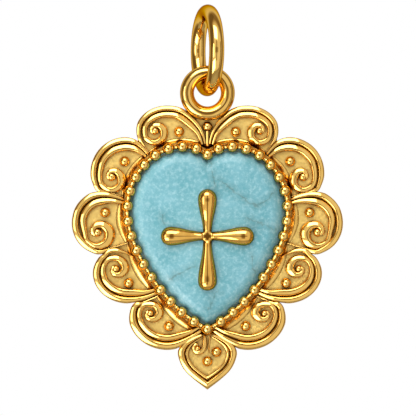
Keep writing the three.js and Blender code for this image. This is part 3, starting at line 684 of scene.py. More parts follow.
def blue_stone():
    """Pale blue stone: cloudy patches, light and dark flecks and thin grey green veins"""
    stone = settings().stone
    material, nodes = new_material("pale_stone", stone.colour)
    where = object_coordinates(nodes)
    pale, deep = (*stone.pale_colour, 1), (*stone.deep_colour, 1)
    clouds = nodes.noise(where, 2.6 * MM, detail=3, roughness=0.55)
    mottle = nodes.noise(where, 0.42 * MM, detail=4, roughness=0.7, seed=2)
    light_flecks = nodes.noise(where, 0.17 * MM, detail=3, roughness=0.75, seed=4)
    dark_flecks = nodes.noise(where, 0.24 * MM, detail=3, roughness=0.7, seed=9)
    colour = nodes.blend(nodes.ramp(clouds, 0.3, 0.7), deep, (*stone.colour, 1))
    colour = nodes.blend(nodes.ramp(mottle, 0.42, 0.7, 0, 0.55), colour, pale)
    colour = nodes.blend(nodes.ramp(light_flecks, 0.58, 0.74, 0, 0.55), colour, pale)
    colour = nodes.blend(nodes.ramp(dark_flecks, 0.58, 0.75, 0, 0.45), colour, deep)

    nearest = vein_distance(nodes, where)
    strength = nodes.ramp(nodes.noise(where, 0.7 * MM, detail=2, roughness=0.6, seed=12), 0.25, 0.6, 0.25, 1)
    core = nodes.ramp(nearest, 0.02 * MM, 0.14 * MM, 0.42, 0)
    halo = nodes.ramp(nearest, 0.05 * MM, 0.9 * MM, 0.28, 0)
    seen = nodes.math("MULTIPLY", strength, nodes.math("ADD", core, halo))
    colour = nodes.blend(seen, colour, (*stone.vein_colour, 1))

    bump = bumped(nodes, nodes.noise(where, 0.35 * MM, detail=3, roughness=0.6, seed=6), 0.01 * MM)
    shader = nodes.add(
        "ShaderNodeBsdfPrincipled",
        {"Base Color": colour, "Roughness": nodes.ramp(mottle, 0.3, 0.8, 0.16, 0.26), "IOR": 1.5,
         "Specular IOR Level": 0.25, "Normal": bump})
    nodes.add("ShaderNodeOutputMaterial", {"Surface": shader.outputs[0]})
    return material


# Sizes and colours

def colour_setting(name, description, default):
    return FloatVectorProperty(name=name, description=description, subtype="COLOR", size=3, default=default)


def length_setting(name, description, default):
    return FloatProperty(name=name, description=description, default=default, unit="LENGTH")


def share_setting(name, description, default):
    return FloatProperty(name=name, description=description, default=default, subtype="FACTOR")


def angle_setting(name, description, default):
    return FloatProperty(name=name, description=description, default=default, subtype="ANGLE")


class GoldSettings(bpy.types.PropertyGroup):
    colour: colour_setting("Colour", "Gold at its lightest", (0.91, 0.58, 0.16))
    deep_colour: colour_setting("Deep colour", "Gold in its deeper patches", (0.86, 0.51, 0.12))
    # The dark colour is the colour of the painted shade in recesses
    dark_colour: colour_setting("Dark colour", "Gold in deep shade", (0.15, 0.045, 0.003))
    edge_tint: colour_setting("Edge tint", "Tint of reflections at a glancing angle", (0.4, 0.2, 0.04))
    cross_colour: colour_setting("Cross colour", "Gold of the cross at its lightest", (0.88, 0.51, 0.12))
    cross_deep: colour_setting(
        "Cross deep colour", "Gold of the cross in its deeper patches", (0.78, 0.42, 0.08))
    satin_colour: colour_setting("Satin colour", "Satin floor at its lightest", (1.0, 0.74, 0.24))
    satin_deep: colour_setting(
        "Satin deep colour", "Satin floor in its deeper patches", (0.94, 0.65, 0.19))
    polish: share_setting("Polish", "Roughness of the polished wires", 0.07)
    brushed: share_setting("Brushed", "Roughness of the brushed collar", 0.24)
    satin: share_setting("Satin", "Roughness of the satin floor", 0.42)
    plain: share_setting("Plain", "Roughness of the hidden metal", 0.3)
    # Reach of the painted shade in recesses
    painted_shade_reach: length_setting(
        "Recess reach", "How far from its neighbours gold counts as a recess", 0.35 * MM)


class StoneSettings(bpy.types.PropertyGroup):
    colour: colour_setting("Colour", "Body colour of the stone", (0.235, 0.525, 0.595))
    deep_colour: colour_setting("Deep colour", "Darker patches and flecks", (0.15, 0.42, 0.48))
    pale_colour: colour_setting("Pale colour", "Light flecks", (0.5, 0.76, 0.8))
    vein_colour: colour_setting("Vein colour", "Thin veins", (0.12, 0.22, 0.2))
    inset: length_setting("Inset", "From the heart line in to the stone's upright edge", 0.27 * MM)
    girdle: length_setting("Girdle height", "Top of the upright edge above the floor", 0.5 * MM)
    shoulder: length_setting("Shoulder width", "Plan width of the rounded shoulder", 1.5 * MM)


class WireSettings(bpy.types.PropertyGroup):
    rim_height: length_setting("Rim height", "Top of the rims above the floor", 0.85 * MM)
    scroll_height: length_setting("Scroll height", "Top of the scrolls above the floor", 0.75 * MM)
    crest: share_setting(
        "Crest", "Where a rim or scroll is highest, as a share of its width from outside", 0.68)
    flank: angle_setting("Flank", "Slope of a rim's or scroll's outer flank", 23 * DEGREE)
    edge_slope: angle_setting("Edge slope", "Slope at the top edges of a rim or scroll", 66 * DEGREE)
    eye_rise: length_setting("Eye rise", "Half height of the ball in a volute's eye", 0.42 * MM)
    gap: length_setting("Gap", "From a rim to its scroll", 0.07 * MM)
    granule: length_setting("Granule", "Diameter of a granule", 1.1 * MM)
    sink: length_setting("Sink", "Depth of a granule's foot in the floor", 0.2 * MM)


class BeadSettings(bpy.types.PropertyGroup):
    per_side: IntProperty(name="Beads per side", description="Beads from the cleft to the tip", default=18)
    bead: length_setting("Bead", "Diameter of a bead", 1.26 * MM)
    neck: length_setting("Neck", "Diameter of a neck", 0.54 * MM)
    crowding: FloatProperty(
        name="Crowding", description="How far beads move up towards the cleft, in beads", default=0.3)


class CrossSettings(bpy.types.PropertyGroup):
    waist: length_setting("Waist", "Narrowest width of an arm", 0.85 * MM)
    bulb: length_setting("Bulb", "Widest width of an arm", 1.85 * MM)
    flatness: FloatProperty(
        name="Flatness", description="How much an arm's height falls with its width, from 0, not at all",
        default=0.65)


class StageSettings(bpy.types.PropertyGroup):
    distance: length_setting("Camera distance", "From the camera to the charm", 0.5)
    field: length_setting("Field width", "Width of the view at the charm", 45.76 * MM)
    floor_depth: length_setting("Floor depth", "How far the floor lies below the jump ring", 0.4)
    tent: FloatProperty(name="Tent", description="Brightness of the light tent", default=0.3)
    mirror_tent: FloatProperty(
        name="Mirrored tent", description="Brightness of the tent in reflections", default=0.9)
    mirror_side: FloatProperty(
        name="Mirrored sides", description="Brightness of the tent's sides in reflections", default=0.25)
    mirror_dark: colour_setting(
        "Mirrored dark colour", "Colour of the tent's darker places in reflections", (1.0, 0.74, 0.42))
    box: FloatProperty(name="Softboxes", description="Power of the softboxes", default=1.0)


class CharmSettings(bpy.types.PropertyGroup):
    gold: PointerProperty(type=GoldSettings)
    stone: PointerProperty(type=StoneSettings)
    wires: PointerProperty(type=WireSettings)
    beads: PointerProperty(type=BeadSettings)
    cross: PointerProperty(type=CrossSettings)
    stage: PointerProperty(type=StageSettings)


# Jump ring and hanging eye

def ring_of_wire(node, wire_width, facing, steps):
    """Closed ring of round wire as tall as its node, spun and then turned to the way it faces"""
    low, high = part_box(node)
    wire_radius = wire_width / 2
    radius = (high.z - low.z) / 2 - wire_radius
    bm = bmesh.new()
    circle = bmesh.ops.create_circle(bm, segments=WIRE_SIDES, radius=wire_radius)["verts"]
    bmesh.ops.translate(bm, verts=circle, vec=(radius, 0, 0))
    bmesh.ops.spin(
        bm, geom=[*circle, *bm.edges], cent=(0, 0, 0), axis=(0, 1, 0), angle=2 * math.pi,
        steps=steps, use_merge=True)
    turn = Vector((0, 1, 0)).rotation_difference(facing).to_matrix().to_4x4()
    bmesh.ops.transform(bm, matrix=Matrix.Translation((low + high) / 2) @ turn, verts=bm.verts)
    return bm


class HEARTCHARM_OT_rings(bpy.types.Operator):
    """Make the jump ring and the hanging eye"""

    bl_idname = "heart_charm.rings"
    bl_label = "Jump ring and eye"

    def execute(self, context):
        facing = Vector((math.cos(RING_YAW), math.sin(RING_YAW), 0))
        bm = ring_of_wire("jump_ring", RING_WIRE, facing, RING_STEPS)
        finished(bm, "jump_ring_wire", ["jump_ring"], "jump_ring", polished_gold())
        bm = ring_of_wire("hanging_eye", EYE_WIRE, Vector((0, 1, 0)), EYE_STEPS)
        finished(bm, "hanging_eye_wire", ["hanging_eye"], "charm", polished_gold())
        return {"FINISHED"}


# Plate

def is_back_corner(edge, back):
    """Whether an edge of the plate lies on its back and turns a sharp corner there"""
    level = all(abs(vert.co.y - back) < PLATE_LEVEL for vert in edge.verts)
    return level and edge.calc_face_angle(0) > CORNER_ANGLE


class HEARTCHARM_OT_plate(bpy.types.Operator):
    """Make the scalloped plate with a softened back edge, and the solder web"""

    bl_idname = "heart_charm.plate"
    bl_label = "Plate"

    def execute(self, context):
        bm = bmesh.new()
        bm.from_mesh(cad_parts["base_plate"].data)
        bmesh.ops.remove_doubles(bm, verts=bm.verts, dist=PLATE_WELD)
        bmesh.ops.dissolve_limit(
            bm, angle_limit=FLAT_ANGLE, use_dissolve_boundaries=False, verts=bm.verts, edges=bm.edges)
        back = max(vert.co.y for vert in bm.verts)
        corners = [edge for edge in bm.edges if is_back_corner(edge, back)]
        bmesh.ops.bevel(
            bm, geom=corners, offset=BACK_BEVEL, offset_type="OFFSET", affect="EDGES", segments=3,
            profile=0.5, material=-1, clamp_overlap=True)
        web = [place(Vector((x * MM, z * MM)), -WEB_DEPTH) for x, z in SOLDER_WEB]
        loft(bm, [web, [spot + Vector((0, WEB_THICKNESS, 0)) for spot in web]])
        finished(bm, "scalloped_plate", ["base_plate"], "charm", satin_gold())
        return {"FINISHED"}


# Rims, scrolls and the leaf

def rim_stations(scallop):
    """Rim: thin at its inner end, full round the scallop, drawn in to a thin tail at its other end"""
    knots = scallop.groove + scallop.tail
    main = (len(scallop.groove) - 1) / (len(knots) - 1)
    line = [border(knot) for knot in smooth_line(knots, RIM_STEPS)]
    stations = []
    for i, right in enumerate(right_of(line)):
        t = i / RIM_STEPS / main
        narrowed = clamp((t - RIM_NARROWS_AT) / (1 - RIM_NARROWS_AT))
        width = scallop.rim * MM * mix(RIM_START, 1, clamp(t / RIM_FULL_AT)) * mix(1, RIM_END, narrowed)
        if t > 1:
            past = (t - 1) * main / (1 - main)
            width = mix(width, scallop.tail_width * MM, smooth(past / TAIL_SETTLES))
            width = mix(width, TAIL_END, smooth((past - TAIL_SETTLES) / (1 - TAIL_SETTLES)))
        stations.append((line[i] - scallop.side * right * width / 2, right, width))
    return stations


def scroll_stations(scallop):
    """Scroll: broad beside the rim, drawn in at its waist, round the volute and in to the ball at its eye"""
    gap = settings().wires.gap
    line = [border(knot) for knot in smooth_line(scallop.groove, GROOVE_STEPS)]
    sides = right_of(line)
    centre = border(scallop.volute)
    knots = []
    for i in range(0, GROOVE_STEPS + 1, 2):
        t = i / GROOVE_STEPS
        grown = scallop.arm * mix(ARM_START, 1, smooth(t / ARM_FULL_AT))
        width = mix(grown, SCROLL_WAIST, smooth((t - ARM_NARROWS_AT) / (1 - ARM_NARROWS_AT))) * MM
        point = line[i] + scallop.side * sides[i] * (gap + width / 2)
        ray = point - centre
        if t > ARM_NARROWS_AT and math.atan2(-scallop.side * ray.y, ray.x) > VOLUTE_JOIN:
            break
        knots.append((*point, width))

    def add_knot(angle, radius, width):
        out = Vector((math.cos(angle), -scallop.side * math.sin(angle)))
        knots.append((*(centre + radius * MM * out), width * MM))

    step = 45 * DEGREE
    head = scallop.turn[-1]
    for k, radius in enumerate(scallop.turn):
        swell = smooth((k * step - step) / (math.pi - step))
        add_knot(k * step, radius, mix(SCROLL_WAIST, HEAD_SHARE * head, swell))
    for k in range(len(scallop.turn), round(SPIRAL_END / step) + 1):
        radius = head * math.exp(-SPIRAL_TIGHTNESS * (k * step - math.pi))
        add_knot(k * step, radius, HEAD_SHARE * radius)
    return path_stations(knots, SCROLL_STEPS)


def path_stations(knots, steps):
    """Stations of a wire through given knots of x, z and width"""
    path = smooth_line(knots, steps)
    plan = [Vector(spot[:2]) for spot in path]
    return [(point, right, spot.z) for point, right, spot in zip(plan, right_of(plan), path)]


def both_sides(stations):
    """Stations of a wire on the right and of its mirror image on the left"""
    left = [(Vector((-point.x, point.y)), Vector((-right.x, right.y)), width)
            for point, right, width in stations]
    return (("right", stations), ("left", left))


def ornament_section(height, side):
    """Section of a rim or scroll: long slope outwards, steep one inwards, and lower where it is narrow.
    Side 1 has its outer flank on the left of the way along, and side -1 on the right"""
    wires = settings().wires

    def section(width):
        tall = height * mix(SLIM_SHARE, 1, clamp(width / SLIM_WIDTH))
        outline = wire_section(width, tall, wires.crest)
        return outline if side > 0 else [(-aside, up) for aside, up in reversed(outline)]
    return section


class HEARTCHARM_OT_rims(bpy.types.Operator):
    """Make the rim of every scallop"""

    bl_idname = "heart_charm.rims"
    bl_label = "Scallop rims"

    def execute(self, context):
        for i, scallop in enumerate(SCALLOPS, 1):
            section = ornament_section(settings().wires.rim_height, scallop.side)
            for side, stations in both_sides(rim_stations(scallop)):
                bm = bmesh.new()
                wire(bm, stations, section)
                finished(bm, f"border_{side}_{i}", [f"rim_{side}_{i}"], "charm",
                         polished_gold())
        return {"FINISHED"}


class HEARTCHARM_OT_scrolls(bpy.types.Operator):
    """Make the scroll of every scallop"""

    bl_idname = "heart_charm.scrolls"
    bl_label = "Scrolls"

    def execute(self, context):
        wires = settings().wires
        for i, scallop in enumerate(SCALLOPS, 1):
            section = ornament_section(wires.scroll_height, scallop.side)
            for side, stations in both_sides(scroll_stations(scallop)):
                bm = bmesh.new()
                wire(bm, stations, section)
                eye = border(scallop.volute)
                eye.x *= -1 if side == "left" else 1
                ball(bm, eye, scallop.ball * MM, wires.scroll_height - wires.eye_rise, wires.eye_rise)
                finished(bm, f"volute_{side}_{i}", [f"scroll_{side}_{i}"], "charm",
                         polished_gold())
        return {"FINISHED"}


def on_tip(x, z):
    """Plan point from the heart line's tip, in millimetres"""
    return Vector((x * MM, TIP_Z + z * MM))


def leaf_line(knots):
    """Smooth line round the leaf, from its right half"""
    half = smooth_line([on_tip(*knot) for knot in knots], LEAF_STEPS)
    return half + mirrored(half)[1:]


def leaf_section(width):
    """Section of the leaf's rim: broad outer band and a lower inner ridge with a groove between them"""
    wires = settings().wires
    band = wire_section(BAND_WIDTH * width, wires.rim_height, wires.crest)
    band = [(-aside + BAND_AT * width, up) for aside, up in reversed(band)]
    ridge = wire_section(RIDGE_WIDTH * width, RIDGE_HEIGHT * wires.rim_height, RIDGE_CREST)
    ridge = [(aside + RIDGE_AT * width, up) for aside, up in ridge]
    groove = [(edge * width, GROOVE_HEIGHT * wires.rim_height) for edge in GROOVE_EDGES]
    return [*band[:-1], *groove, *ridge[1:]]


class HEARTCHARM_OT_leaf(bpy.types.Operator):
    """Make the rim and the scroll of the bottom leaf"""

    bl_idname = "heart_charm.leaf"
    bl_label = "Bottom leaf"

    def execute(self, context):
        wires = settings().wires
        stations = []
        for near, far in zip(leaf_line(LEAF_INNER), leaf_line(LEAF_OUTER)):
            across = far - near
            stations.append(((near + far) / 2, across.normalized(), across.length))
        bm = bmesh.new()
        wire(bm, stations, leaf_section)
        finished(bm, "border_leaf", ["tip_rim"], "charm", polished_gold())

        bm = bmesh.new()
        for table, share in ((LEAF_SCROLL, 1), (LEAF_RIDGE, LOW_RIDGE_HEIGHT)):
            knots = [(*on_tip(x, z), width * MM) for x, z, width in table]
            section = ornament_section(share * wires.scroll_height, 1)
            wire(bm, path_stations(knots, LEAF_STEPS), section)
        x, z, radius = LEAF_BALL
        ball(bm, on_tip(x, z), radius * MM, wires.scroll_height - wires.eye_rise, wires.eye_rise)
        finished(bm, "volute_leaf", ["tip_scroll"], "charm", polished_gold())
        return {"FINISHED"}


# Granules and the cleft wire

def middle_of(node):
    """Plan place of a node's middle"""
    low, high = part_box(node)
    return Vector(((low.x + high.x) / 2, (low.z + high.z) / 2 - CROSS_Z))


class HEARTCHARM_OT_granules(bpy.types.Operator):
    """Make the granules and the small wire in the cleft"""

    bl_idname = "heart_charm.granules"
    bl_label = "Granules"

    def execute(self, context):
        wires = settings().wires
        radius = wires.granule / 2
        for node in sorted(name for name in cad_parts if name.startswith("granule_")):
            bm = bmesh.new()
            ball(bm, middle_of(node), radius, radius - wires.sink, radius)
            finished(bm, node.replace("granule", "grain"), [node], "charm", bead_gold())

        low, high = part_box("cleft_wire")
        ends = [Vector((0, z - CROSS_Z)) for z in (low.z - CLEFT_WIRE_BELOW, high.z + CLEFT_WIRE_ABOVE)]
        line = [ends[0].lerp(ends[1], i / CLEFT_STEPS) for i in range(CLEFT_STEPS + 1)]
        stations = [(point, Vector((1, 0)), high.x - low.x) for point in line]
        bm = bmesh.new()
        wire(bm, stations, ornament_section(wires.scroll_height, 1))
        finished(bm, "cleft_ridge", ["cleft_wire"], "charm", polished_gold())
        return {"FINISHED"}


# Collar and beaded wire

def collar_size(share):
    """Width and height of the collar at a share of the heart line"""
    u = share * BORDER_SPAN
    start, end, *fullest = next(swell for swell in COLLAR_SWELLS if u <= swell[1])
    rise = math.sin(math.pi * (u - start) / (end - start))
    return [mix(least, most, rise) * MM for least, most in zip(COLLAR_VALLEY, fullest)]


def collar_ring(reach, tall):
    """Ring along the collar, at a share of its width out from the beads and a share of its height"""
    points = heart_loop(lambda share: mix(COLLAR_INNER, collar_size(share)[0], reach))
    count = len(points)
    shares = [min(i, count - i) * 2 / count for i in range(count)]
    return [place(point, tall * collar_size(share)[1]) for point, share in zip(points, shares)]


class HEARTCHARM_OT_collar(bpy.types.Operator):
    """Make the smooth collar outside the beads"""

    bl_idname = "heart_charm.collar"
    bl_label = "Collar"

    def execute(self, context):
        profile = [(0, 0), *COLLAR_CREST]
        for i in range(1, COVE_STEPS + 1):
            reach = i / COVE_STEPS
            profile.append((mix(COVE_START, 1, reach), (1 - reach) ** COVE_POWER))
        bm = bmesh.new()
        loft(bm, [collar_ring(reach, tall) for reach, tall in profile], capped=False)
        finished(bm, "collar_band", ["collar_wire"], "charm", brushed_gold())
        return {"FINISHED"}


def bead_place(k):
    """Plan point and way along at a bead, counted from the cleft. Beads on the left count below 0"""
    beads = settings().beads
    count = abs(k) - beads.crowding * math.sin(math.pi * (abs(k) / beads.per_side) ** CROWDING_POWER)
    point, along = beside(count / beads.per_side, 0)
    if k < 0:
        return Vector((-point.x, point.y)), Vector((along.x, -along.y))
    return point, along


def bead_ring(point, along, radius):
    """Ring round the strand, square to its way along"""
    middle = BEAD_SEAT + settings().beads.bead / 2
    across = Vector((along.y, -along.x))
    ring = []
    for i in range(BEAD_SIDES):
        angle = 2 * math.pi * i / BEAD_SIDES
        ring.append(place(point + across * radius * math.cos(angle), middle + radius * math.sin(angle)))
    return ring


class HEARTCHARM_OT_beads(bpy.types.Operator):
    """Make the beaded wire round the stone"""

    bl_idname = "heart_charm.beads"
    bl_label = "Beaded wire"

    def execute(self, context):
        beads = settings().beads
        radius = beads.bead / 2
        neck = beads.neck / 2
        reach = math.acos(neck / radius)
        rings = []
        for k in range(1 - beads.per_side, beads.per_side + 1):
            point, along = bead_place(k)
            # The beads at the cleft and at the tip face straight across
            if k in (0, beads.per_side):
                along = Vector((1 if k == 0 else -1, 0))
            for i in range(BEAD_STEPS + 1):
                angle = reach * (2 * i / BEAD_STEPS - 1)
                shifted = point + along * radius * math.sin(angle)
                rings.append(bead_ring(shifted, along, radius * math.cos(angle)))
            # From the tip's bead, the last one, the strand goes on to the first one on the left
            start = k if k < beads.per_side else -beads.per_side
            for way, share in NECK_RINGS:
                rings.append(bead_ring(*bead_place(start + way), share * neck))
        bm = bmesh.new()
        loft(bm, rings, capped=False)
        finished(bm, "bead_strand", ["beaded_wire"], "charm", bead_gold())
        return {"FINISHED"}


# Stone

class HEARTCHARM_OT_stone(bpy.types.Operator):
    """Make the heart shaped stone"""

    bl_idname = "heart_charm.stone"
    bl_label = "Stone"

    def execute(self, context):
        stone = settings().stone
        top = FLOOR_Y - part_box("stone")[0].y
        edge = Vector((-stone.inset, stone.girdle))
        bend = Vector((-settings().beads.bead / 2 - BEND_INWARDS, BEND_HEIGHT))
        crown = Vector((-stone.inset - stone.shoulder, top))
        profile = [Vector((-stone.inset, 0)), edge]
        for i in range(1, SHOULDER_STEPS + 1):
            t = i / SHOULDER_STEPS
            profile.append(edge.lerp(bend, t).lerp(bend.lerp(crown, t), t))
        bm = bmesh.new()
        loft(bm, [[place(point, spot.y) for point in even_loop(spot.x)] for spot in profile])
        finished(bm, "heart_stone", ["stone"], "charm", blue_stone())
        return {"FINISHED"}


# Cross

def arm_stations(length, waist, bulb, tall):
    """Cage of a cross arm: places along it with their width and height, from the waist to its round end"""
    cross = settings().cross
    half = cross.bulb / 2
    straight = length - half
    widths = []
    for share in ARM_SHARES:
        widened = smooth((share - ARM_WIDENS_FROM) / ARM_WIDENS_OVER) ** ARM_WIDENS_POWER
        widths.append((straight * share, mix(waist, bulb, widened)))
    for angle in ARM_END_ANGLES:
        widths.append((straight + half * math.sin(angle), bulb * max(math.cos(angle), ARM_END_WIDTH)))
    return [(reach, width, tall * (width / bulb) ** cross.flatness) for reach, width in widths]


def pull_arm(bm, face, middle, way, stations):
    """Pull an arm out of a face of the block. The first station is the face itself"""
    for (reach_before, width_before, tall_before), (reach, width, tall) in pairwise(stations):
        face = bmesh.ops.extrude_discrete_faces(bm, faces=[face])["faces"][0]
        verts = face.verts[:]
        bmesh.ops.translate(bm, verts=verts, vec=way * (reach - reach_before))
        wider = width / width_before
        grow = Vector((1 if way.x else wider, tall / tall_before, 1 if way.z else wider))
        bmesh.ops.scale(bm, verts=verts, vec=grow, space=Matrix.Translation(-(middle + way * reach)))


class HEARTCHARM_OT_cross(bpy.types.Operator):
    """Make the puffed cross: four drop shaped arms pulled out of one block and smoothed"""

    bl_idname = "heart_charm.cross"
    bl_label = "Cross"

    def execute(self, context):
        cross = settings().cross
        low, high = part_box("cross")
        middle = Vector((0, high.y, CROSS_Z))
        waist = cross.waist / CAGE_SHARE
        bulb = cross.bulb / CAGE_SHARE
        tall = 2 * (high.y - low.y) / CAGE_SHARE
        bm = bmesh.new()
        block = Matrix.Translation(middle) @ Matrix.Diagonal((waist, waist, waist, 1))
        bmesh.ops.create_cube(bm, size=1, matrix=block)
        arms = (
            (Vector((1, 0, 0)), high.x),
            (Vector((-1, 0, 0)), -low.x),
            (Vector((0, 0, 1)), high.z - CROSS_Z),
            (Vector((0, 0, -1)), CROSS_Z - low.z),
        )
        faces = [max(bm.faces, key=lambda face: face.normal.dot(way)) for way, length in arms]
        for face, (way, length) in zip(faces, arms):
            block_side = (waist / 2, waist, waist)
            stations = [block_side, *arm_stations(length + CAGE_END, waist, bulb, tall)]
            pull_arm(bm, face, middle, way, stations)
        bmesh.ops.recalc_face_normals(bm, faces=bm.faces)
        subdivided(bm, CROSS_LEVELS)
        cut_off(bm, bm.verts, high.y)
        finished(bm, "puffed_cross", ["cross"], "charm", cross_gold())
        return {"FINISHED"}


# Hidden metal

class HEARTCHARM_OT_hidden(bpy.types.Operator):
    """Give the bezel seat and the pegs their gold"""

    bl_idname = "heart_charm.hidden"
    bl_label = "Seat and pegs"

    def execute(self, context):
        for node in ("bezel_seat", "cross_peg_upper", "cross_peg_lower"):
            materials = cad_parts[node].data.materials
            materials.clear()
            materials.append(plain_gold())
        return {"FINISHED"}


# Stage

# Point that the camera and the softboxes look at, and the floor's half width and grey
AIM = Vector((0.066 * MM, 0, -20.79 * MM))
FLOOR_REACH = 0.3
FLOOR_TONE = 0.85

# Softboxes, all at one distance: azimuth and elevation in degrees from the camera's side, width, height
# and power
BOX_DISTANCE = 0.35
SOFTBOXES = (
    ("upper_box", -10, 45, 0.26, 0.2, 0.82),
    ("side_box", -46, 2, 0.09, 0.16, 0.14),
    ("lower_box", -38, -32, 0.22, 0.17, 0.59),
)

# Darker places that the gold mirrors: azimuth and elevation from and to, in degrees from the camera's
# side, the width of the soft edge, and the share of brightness left there
MIRRORED = (
    (-5, 5, -24, 24, 5, 0.35),
    (-20, 20, -4, 4, 5, 0.5),
    (-72, -50, 10, 38, 10, 0.3),
    (56, 64, -45, 16, 3, 0.2),
    (-110, -70, -90, 90, 20, 0.7),
)

# Where the mirrored tent fades from its front to its sides and from there to its back, as the y of a
# direction, and the brightness from dark and warm to white
FRONT_FADE, BACK_FADE = (-0.5, -0.1), (0.15, 0.5)
WARM_FADE = (0.1, 0.8)


def mirrored_tent(nodes, stage):
    """Brightness of the tent in reflections: full in front and behind, lower at the sides and in the
    MIRRORED places"""
    way = nodes.add("ShaderNodeTexCoord").outputs["Generated"]
    parts = nodes.add("ShaderNodeSeparateXYZ", {0: way}).outputs
    azimuth = nodes.math("ARCTAN2", parts[0], nodes.math("MULTIPLY", parts[1], -1.0))
    elevation = nodes.math("ARCSINE", parts[2])
    front = nodes.ramp(parts[1], *FRONT_FADE, stage.mirror_tent, stage.mirror_side)
    back = nodes.ramp(parts[1], *BACK_FADE, 0.0, stage.mirror_tent - stage.mirror_side)
    tent = nodes.math("ADD", front, back)
    for left, right, low, high, soft, level in MIRRORED:
        seen = 1.0
        for value, start, end in ((azimuth, left, right), (elevation, low, high)):
            rise = nodes.ramp(value, (start - soft) * DEGREE, start * DEGREE)
            fall = nodes.ramp(value, end * DEGREE, (end + soft) * DEGREE, 1.0, 0.0)
            seen = nodes.math("MULTIPLY", seen, nodes.math("MULTIPLY", rise, fall))
        tent = nodes.math("MULTIPLY", tent, nodes.ramp(seen, 0.0, 1.0, 1.0, level))
    return tent


def add_tent(stage):
    """White background and a pale light tent, with darker and warmer places in its reflections"""
    world = bpy.data.worlds.new("light_tent")
    bpy.context.scene.world = world
    world.use_nodes = True
    nodes = Nodes(world.node_tree)
    mirrored_light = mirrored_tent(nodes, stage)
    rays = nodes.add("ShaderNodeLightPath").outputs
    glossy = nodes.math("MAXIMUM", rays["Is Glossy Ray"], rays["Is Transmission Ray"])
    strength = nodes.between(glossy, stage.tent, mirrored_light)
    strength = nodes.between(rays["Is Camera Ray"], strength, 1.0)
    paleness = nodes.between(glossy, 1.0, nodes.ramp(mirrored_light, *WARM_FADE))
    colour = nodes.blend(paleness, (*stage.mirror_dark, 1), (1, 1, 1, 1))
    background = nodes.add("ShaderNodeBackground", {"Color": colour, "Strength": strength})
    nodes.add("ShaderNodeOutputWorld", {"Surface": background.outputs[0]})


def add_softbox(name, azimuth, elevation, width, height, power):
    """Area lamp that faces the charm from a direction: azimuth 0 is the camera's side"""
    lamp = bpy.data.lights.new(name, "AREA")
    lamp.shape = "RECTANGLE"
    lamp.size = width
    lamp.size_y = height
    lamp.energy = power
    way = Vector((
        math.sin(azimuth) * math.cos(elevation),
        -math.cos(azimuth) * math.cos(elevation),
        math.sin(elevation),
    ))
    box = bpy.data.objects.new(name, lamp)
    box.location = AIM + BOX_DISTANCE * way
    box.rotation_euler = way.to_track_quat("Z", "Y").to_euler()
    bpy.context.scene.collection.objects.link(box)


def add_camera(stage):
    camera = bpy.data.cameras.new("camera")
    camera.sensor_width = 36
    camera.lens = camera.sensor_width * stage.distance / stage.field
    camera.clip_start = 0.01
    viewer = bpy.data.objects.new("camera", camera)
    viewer.location = AIM + Vector((0, -stage.distance, 0))
    viewer.rotation_euler = (90 * DEGREE, 0, 0)
    bpy.context.scene.collection.objects.link(viewer)
    bpy.context.scene.camera = viewer


def pale_floor():
    """Matt pale floor, which the camera sees white"""
    material, nodes = new_material("pale_floor", (1, 1, 1))
    shader = nodes.add("ShaderNodeBsdfDiffuse", {"Color": (FLOOR_TONE, FLOOR_TONE, FLOOR_TONE, 1)})
    rays = nodes.add("ShaderNodeLightPath").outputs
    light = nodes.add("ShaderNodeEmission", {"Color": (1, 1, 1, 1), "Strength": 1.0})
    seen = nodes.math("MAXIMUM", rays["Is Camera Ray"], rays["Is Transmission Ray"])
    both = nodes.add("ShaderNodeMixShader", {0: seen, 1: shader.outputs[0], 2: light.outputs[0]})
    nodes.add("ShaderNodeOutputMaterial", {"Surface": both.outputs[0]})
    return material


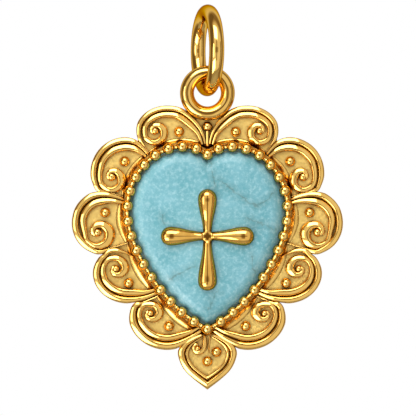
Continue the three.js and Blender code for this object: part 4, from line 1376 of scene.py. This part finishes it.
def add_floor(stage):
    bm = bmesh.new()
    bmesh.ops.create_grid(bm, x_segments=1, y_segments=1, size=FLOOR_REACH)
    bmesh.ops.translate(bm, verts=bm.verts, vec=(0, 0, -stage.floor_depth))
    mesh = bpy.data.meshes.new("floor")
    bm.to_mesh(mesh)
    bm.free()
    mesh.materials.append(pale_floor())
    floor = bpy.data.objects.new("floor", mesh)
    bpy.context.scene.collection.objects.link(floor)


class HEARTCHARM_OT_stage(bpy.types.Operator):
    """Set up the floor, the light and the camera"""

    bl_idname = "heart_charm.stage"
    bl_label = "Stage"

    def execute(self, context):
        stage = settings().stage
        context.scene.view_settings.view_transform = "Standard"
        add_camera(stage)
        add_tent(stage)
        for name, azimuth, elevation, width, height, power in SOFTBOXES:
            add_softbox(name, azimuth * DEGREE, elevation * DEGREE, width, height, power * stage.box)
        add_floor(stage)
        return {"FINISHED"}


PIECE_OPERATORS = (
    HEARTCHARM_OT_rings,
    HEARTCHARM_OT_plate,
    HEARTCHARM_OT_rims,
    HEARTCHARM_OT_scrolls,
    HEARTCHARM_OT_leaf,
    HEARTCHARM_OT_granules,
    HEARTCHARM_OT_collar,
    HEARTCHARM_OT_beads,
    HEARTCHARM_OT_stone,
    HEARTCHARM_OT_cross,
    HEARTCHARM_OT_hidden,
    HEARTCHARM_OT_stage,
)


class HEARTCHARM_PT_panel(bpy.types.Panel):
    """Panel with a button for each piece and for the stage"""

    bl_idname = "HEARTCHARM_PT_panel"
    bl_label = "Heart Charm"
    bl_space_type = "VIEW_3D"
    bl_region_type = "UI"
    bl_category = "Heart Charm"

    def draw(self, context):
        for operator in PIECE_OPERATORS:
            self.layout.operator(operator.bl_idname)


CLASSES = (
    GoldSettings,
    StoneSettings,
    WireSettings,
    BeadSettings,
    CrossSettings,
    StageSettings,
    CharmSettings,
    *PIECE_OPERATORS,
    HEARTCHARM_PT_panel,
)


def register():
    for cls in CLASSES:
        bpy.utils.register_class(cls)
    bpy.types.Scene.heart_charm = PointerProperty(type=CharmSettings)


def unregister():
    del bpy.types.Scene.heart_charm
    for cls in reversed(CLASSES):
        bpy.utils.unregister_class(cls)


def main():
    register()
    for operator in PIECE_OPERATORS:
        group, name = operator.bl_idname.split(".")
        getattr(getattr(bpy.ops, group), name)()
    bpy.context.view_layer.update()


if __name__ == "__main__":
    main()
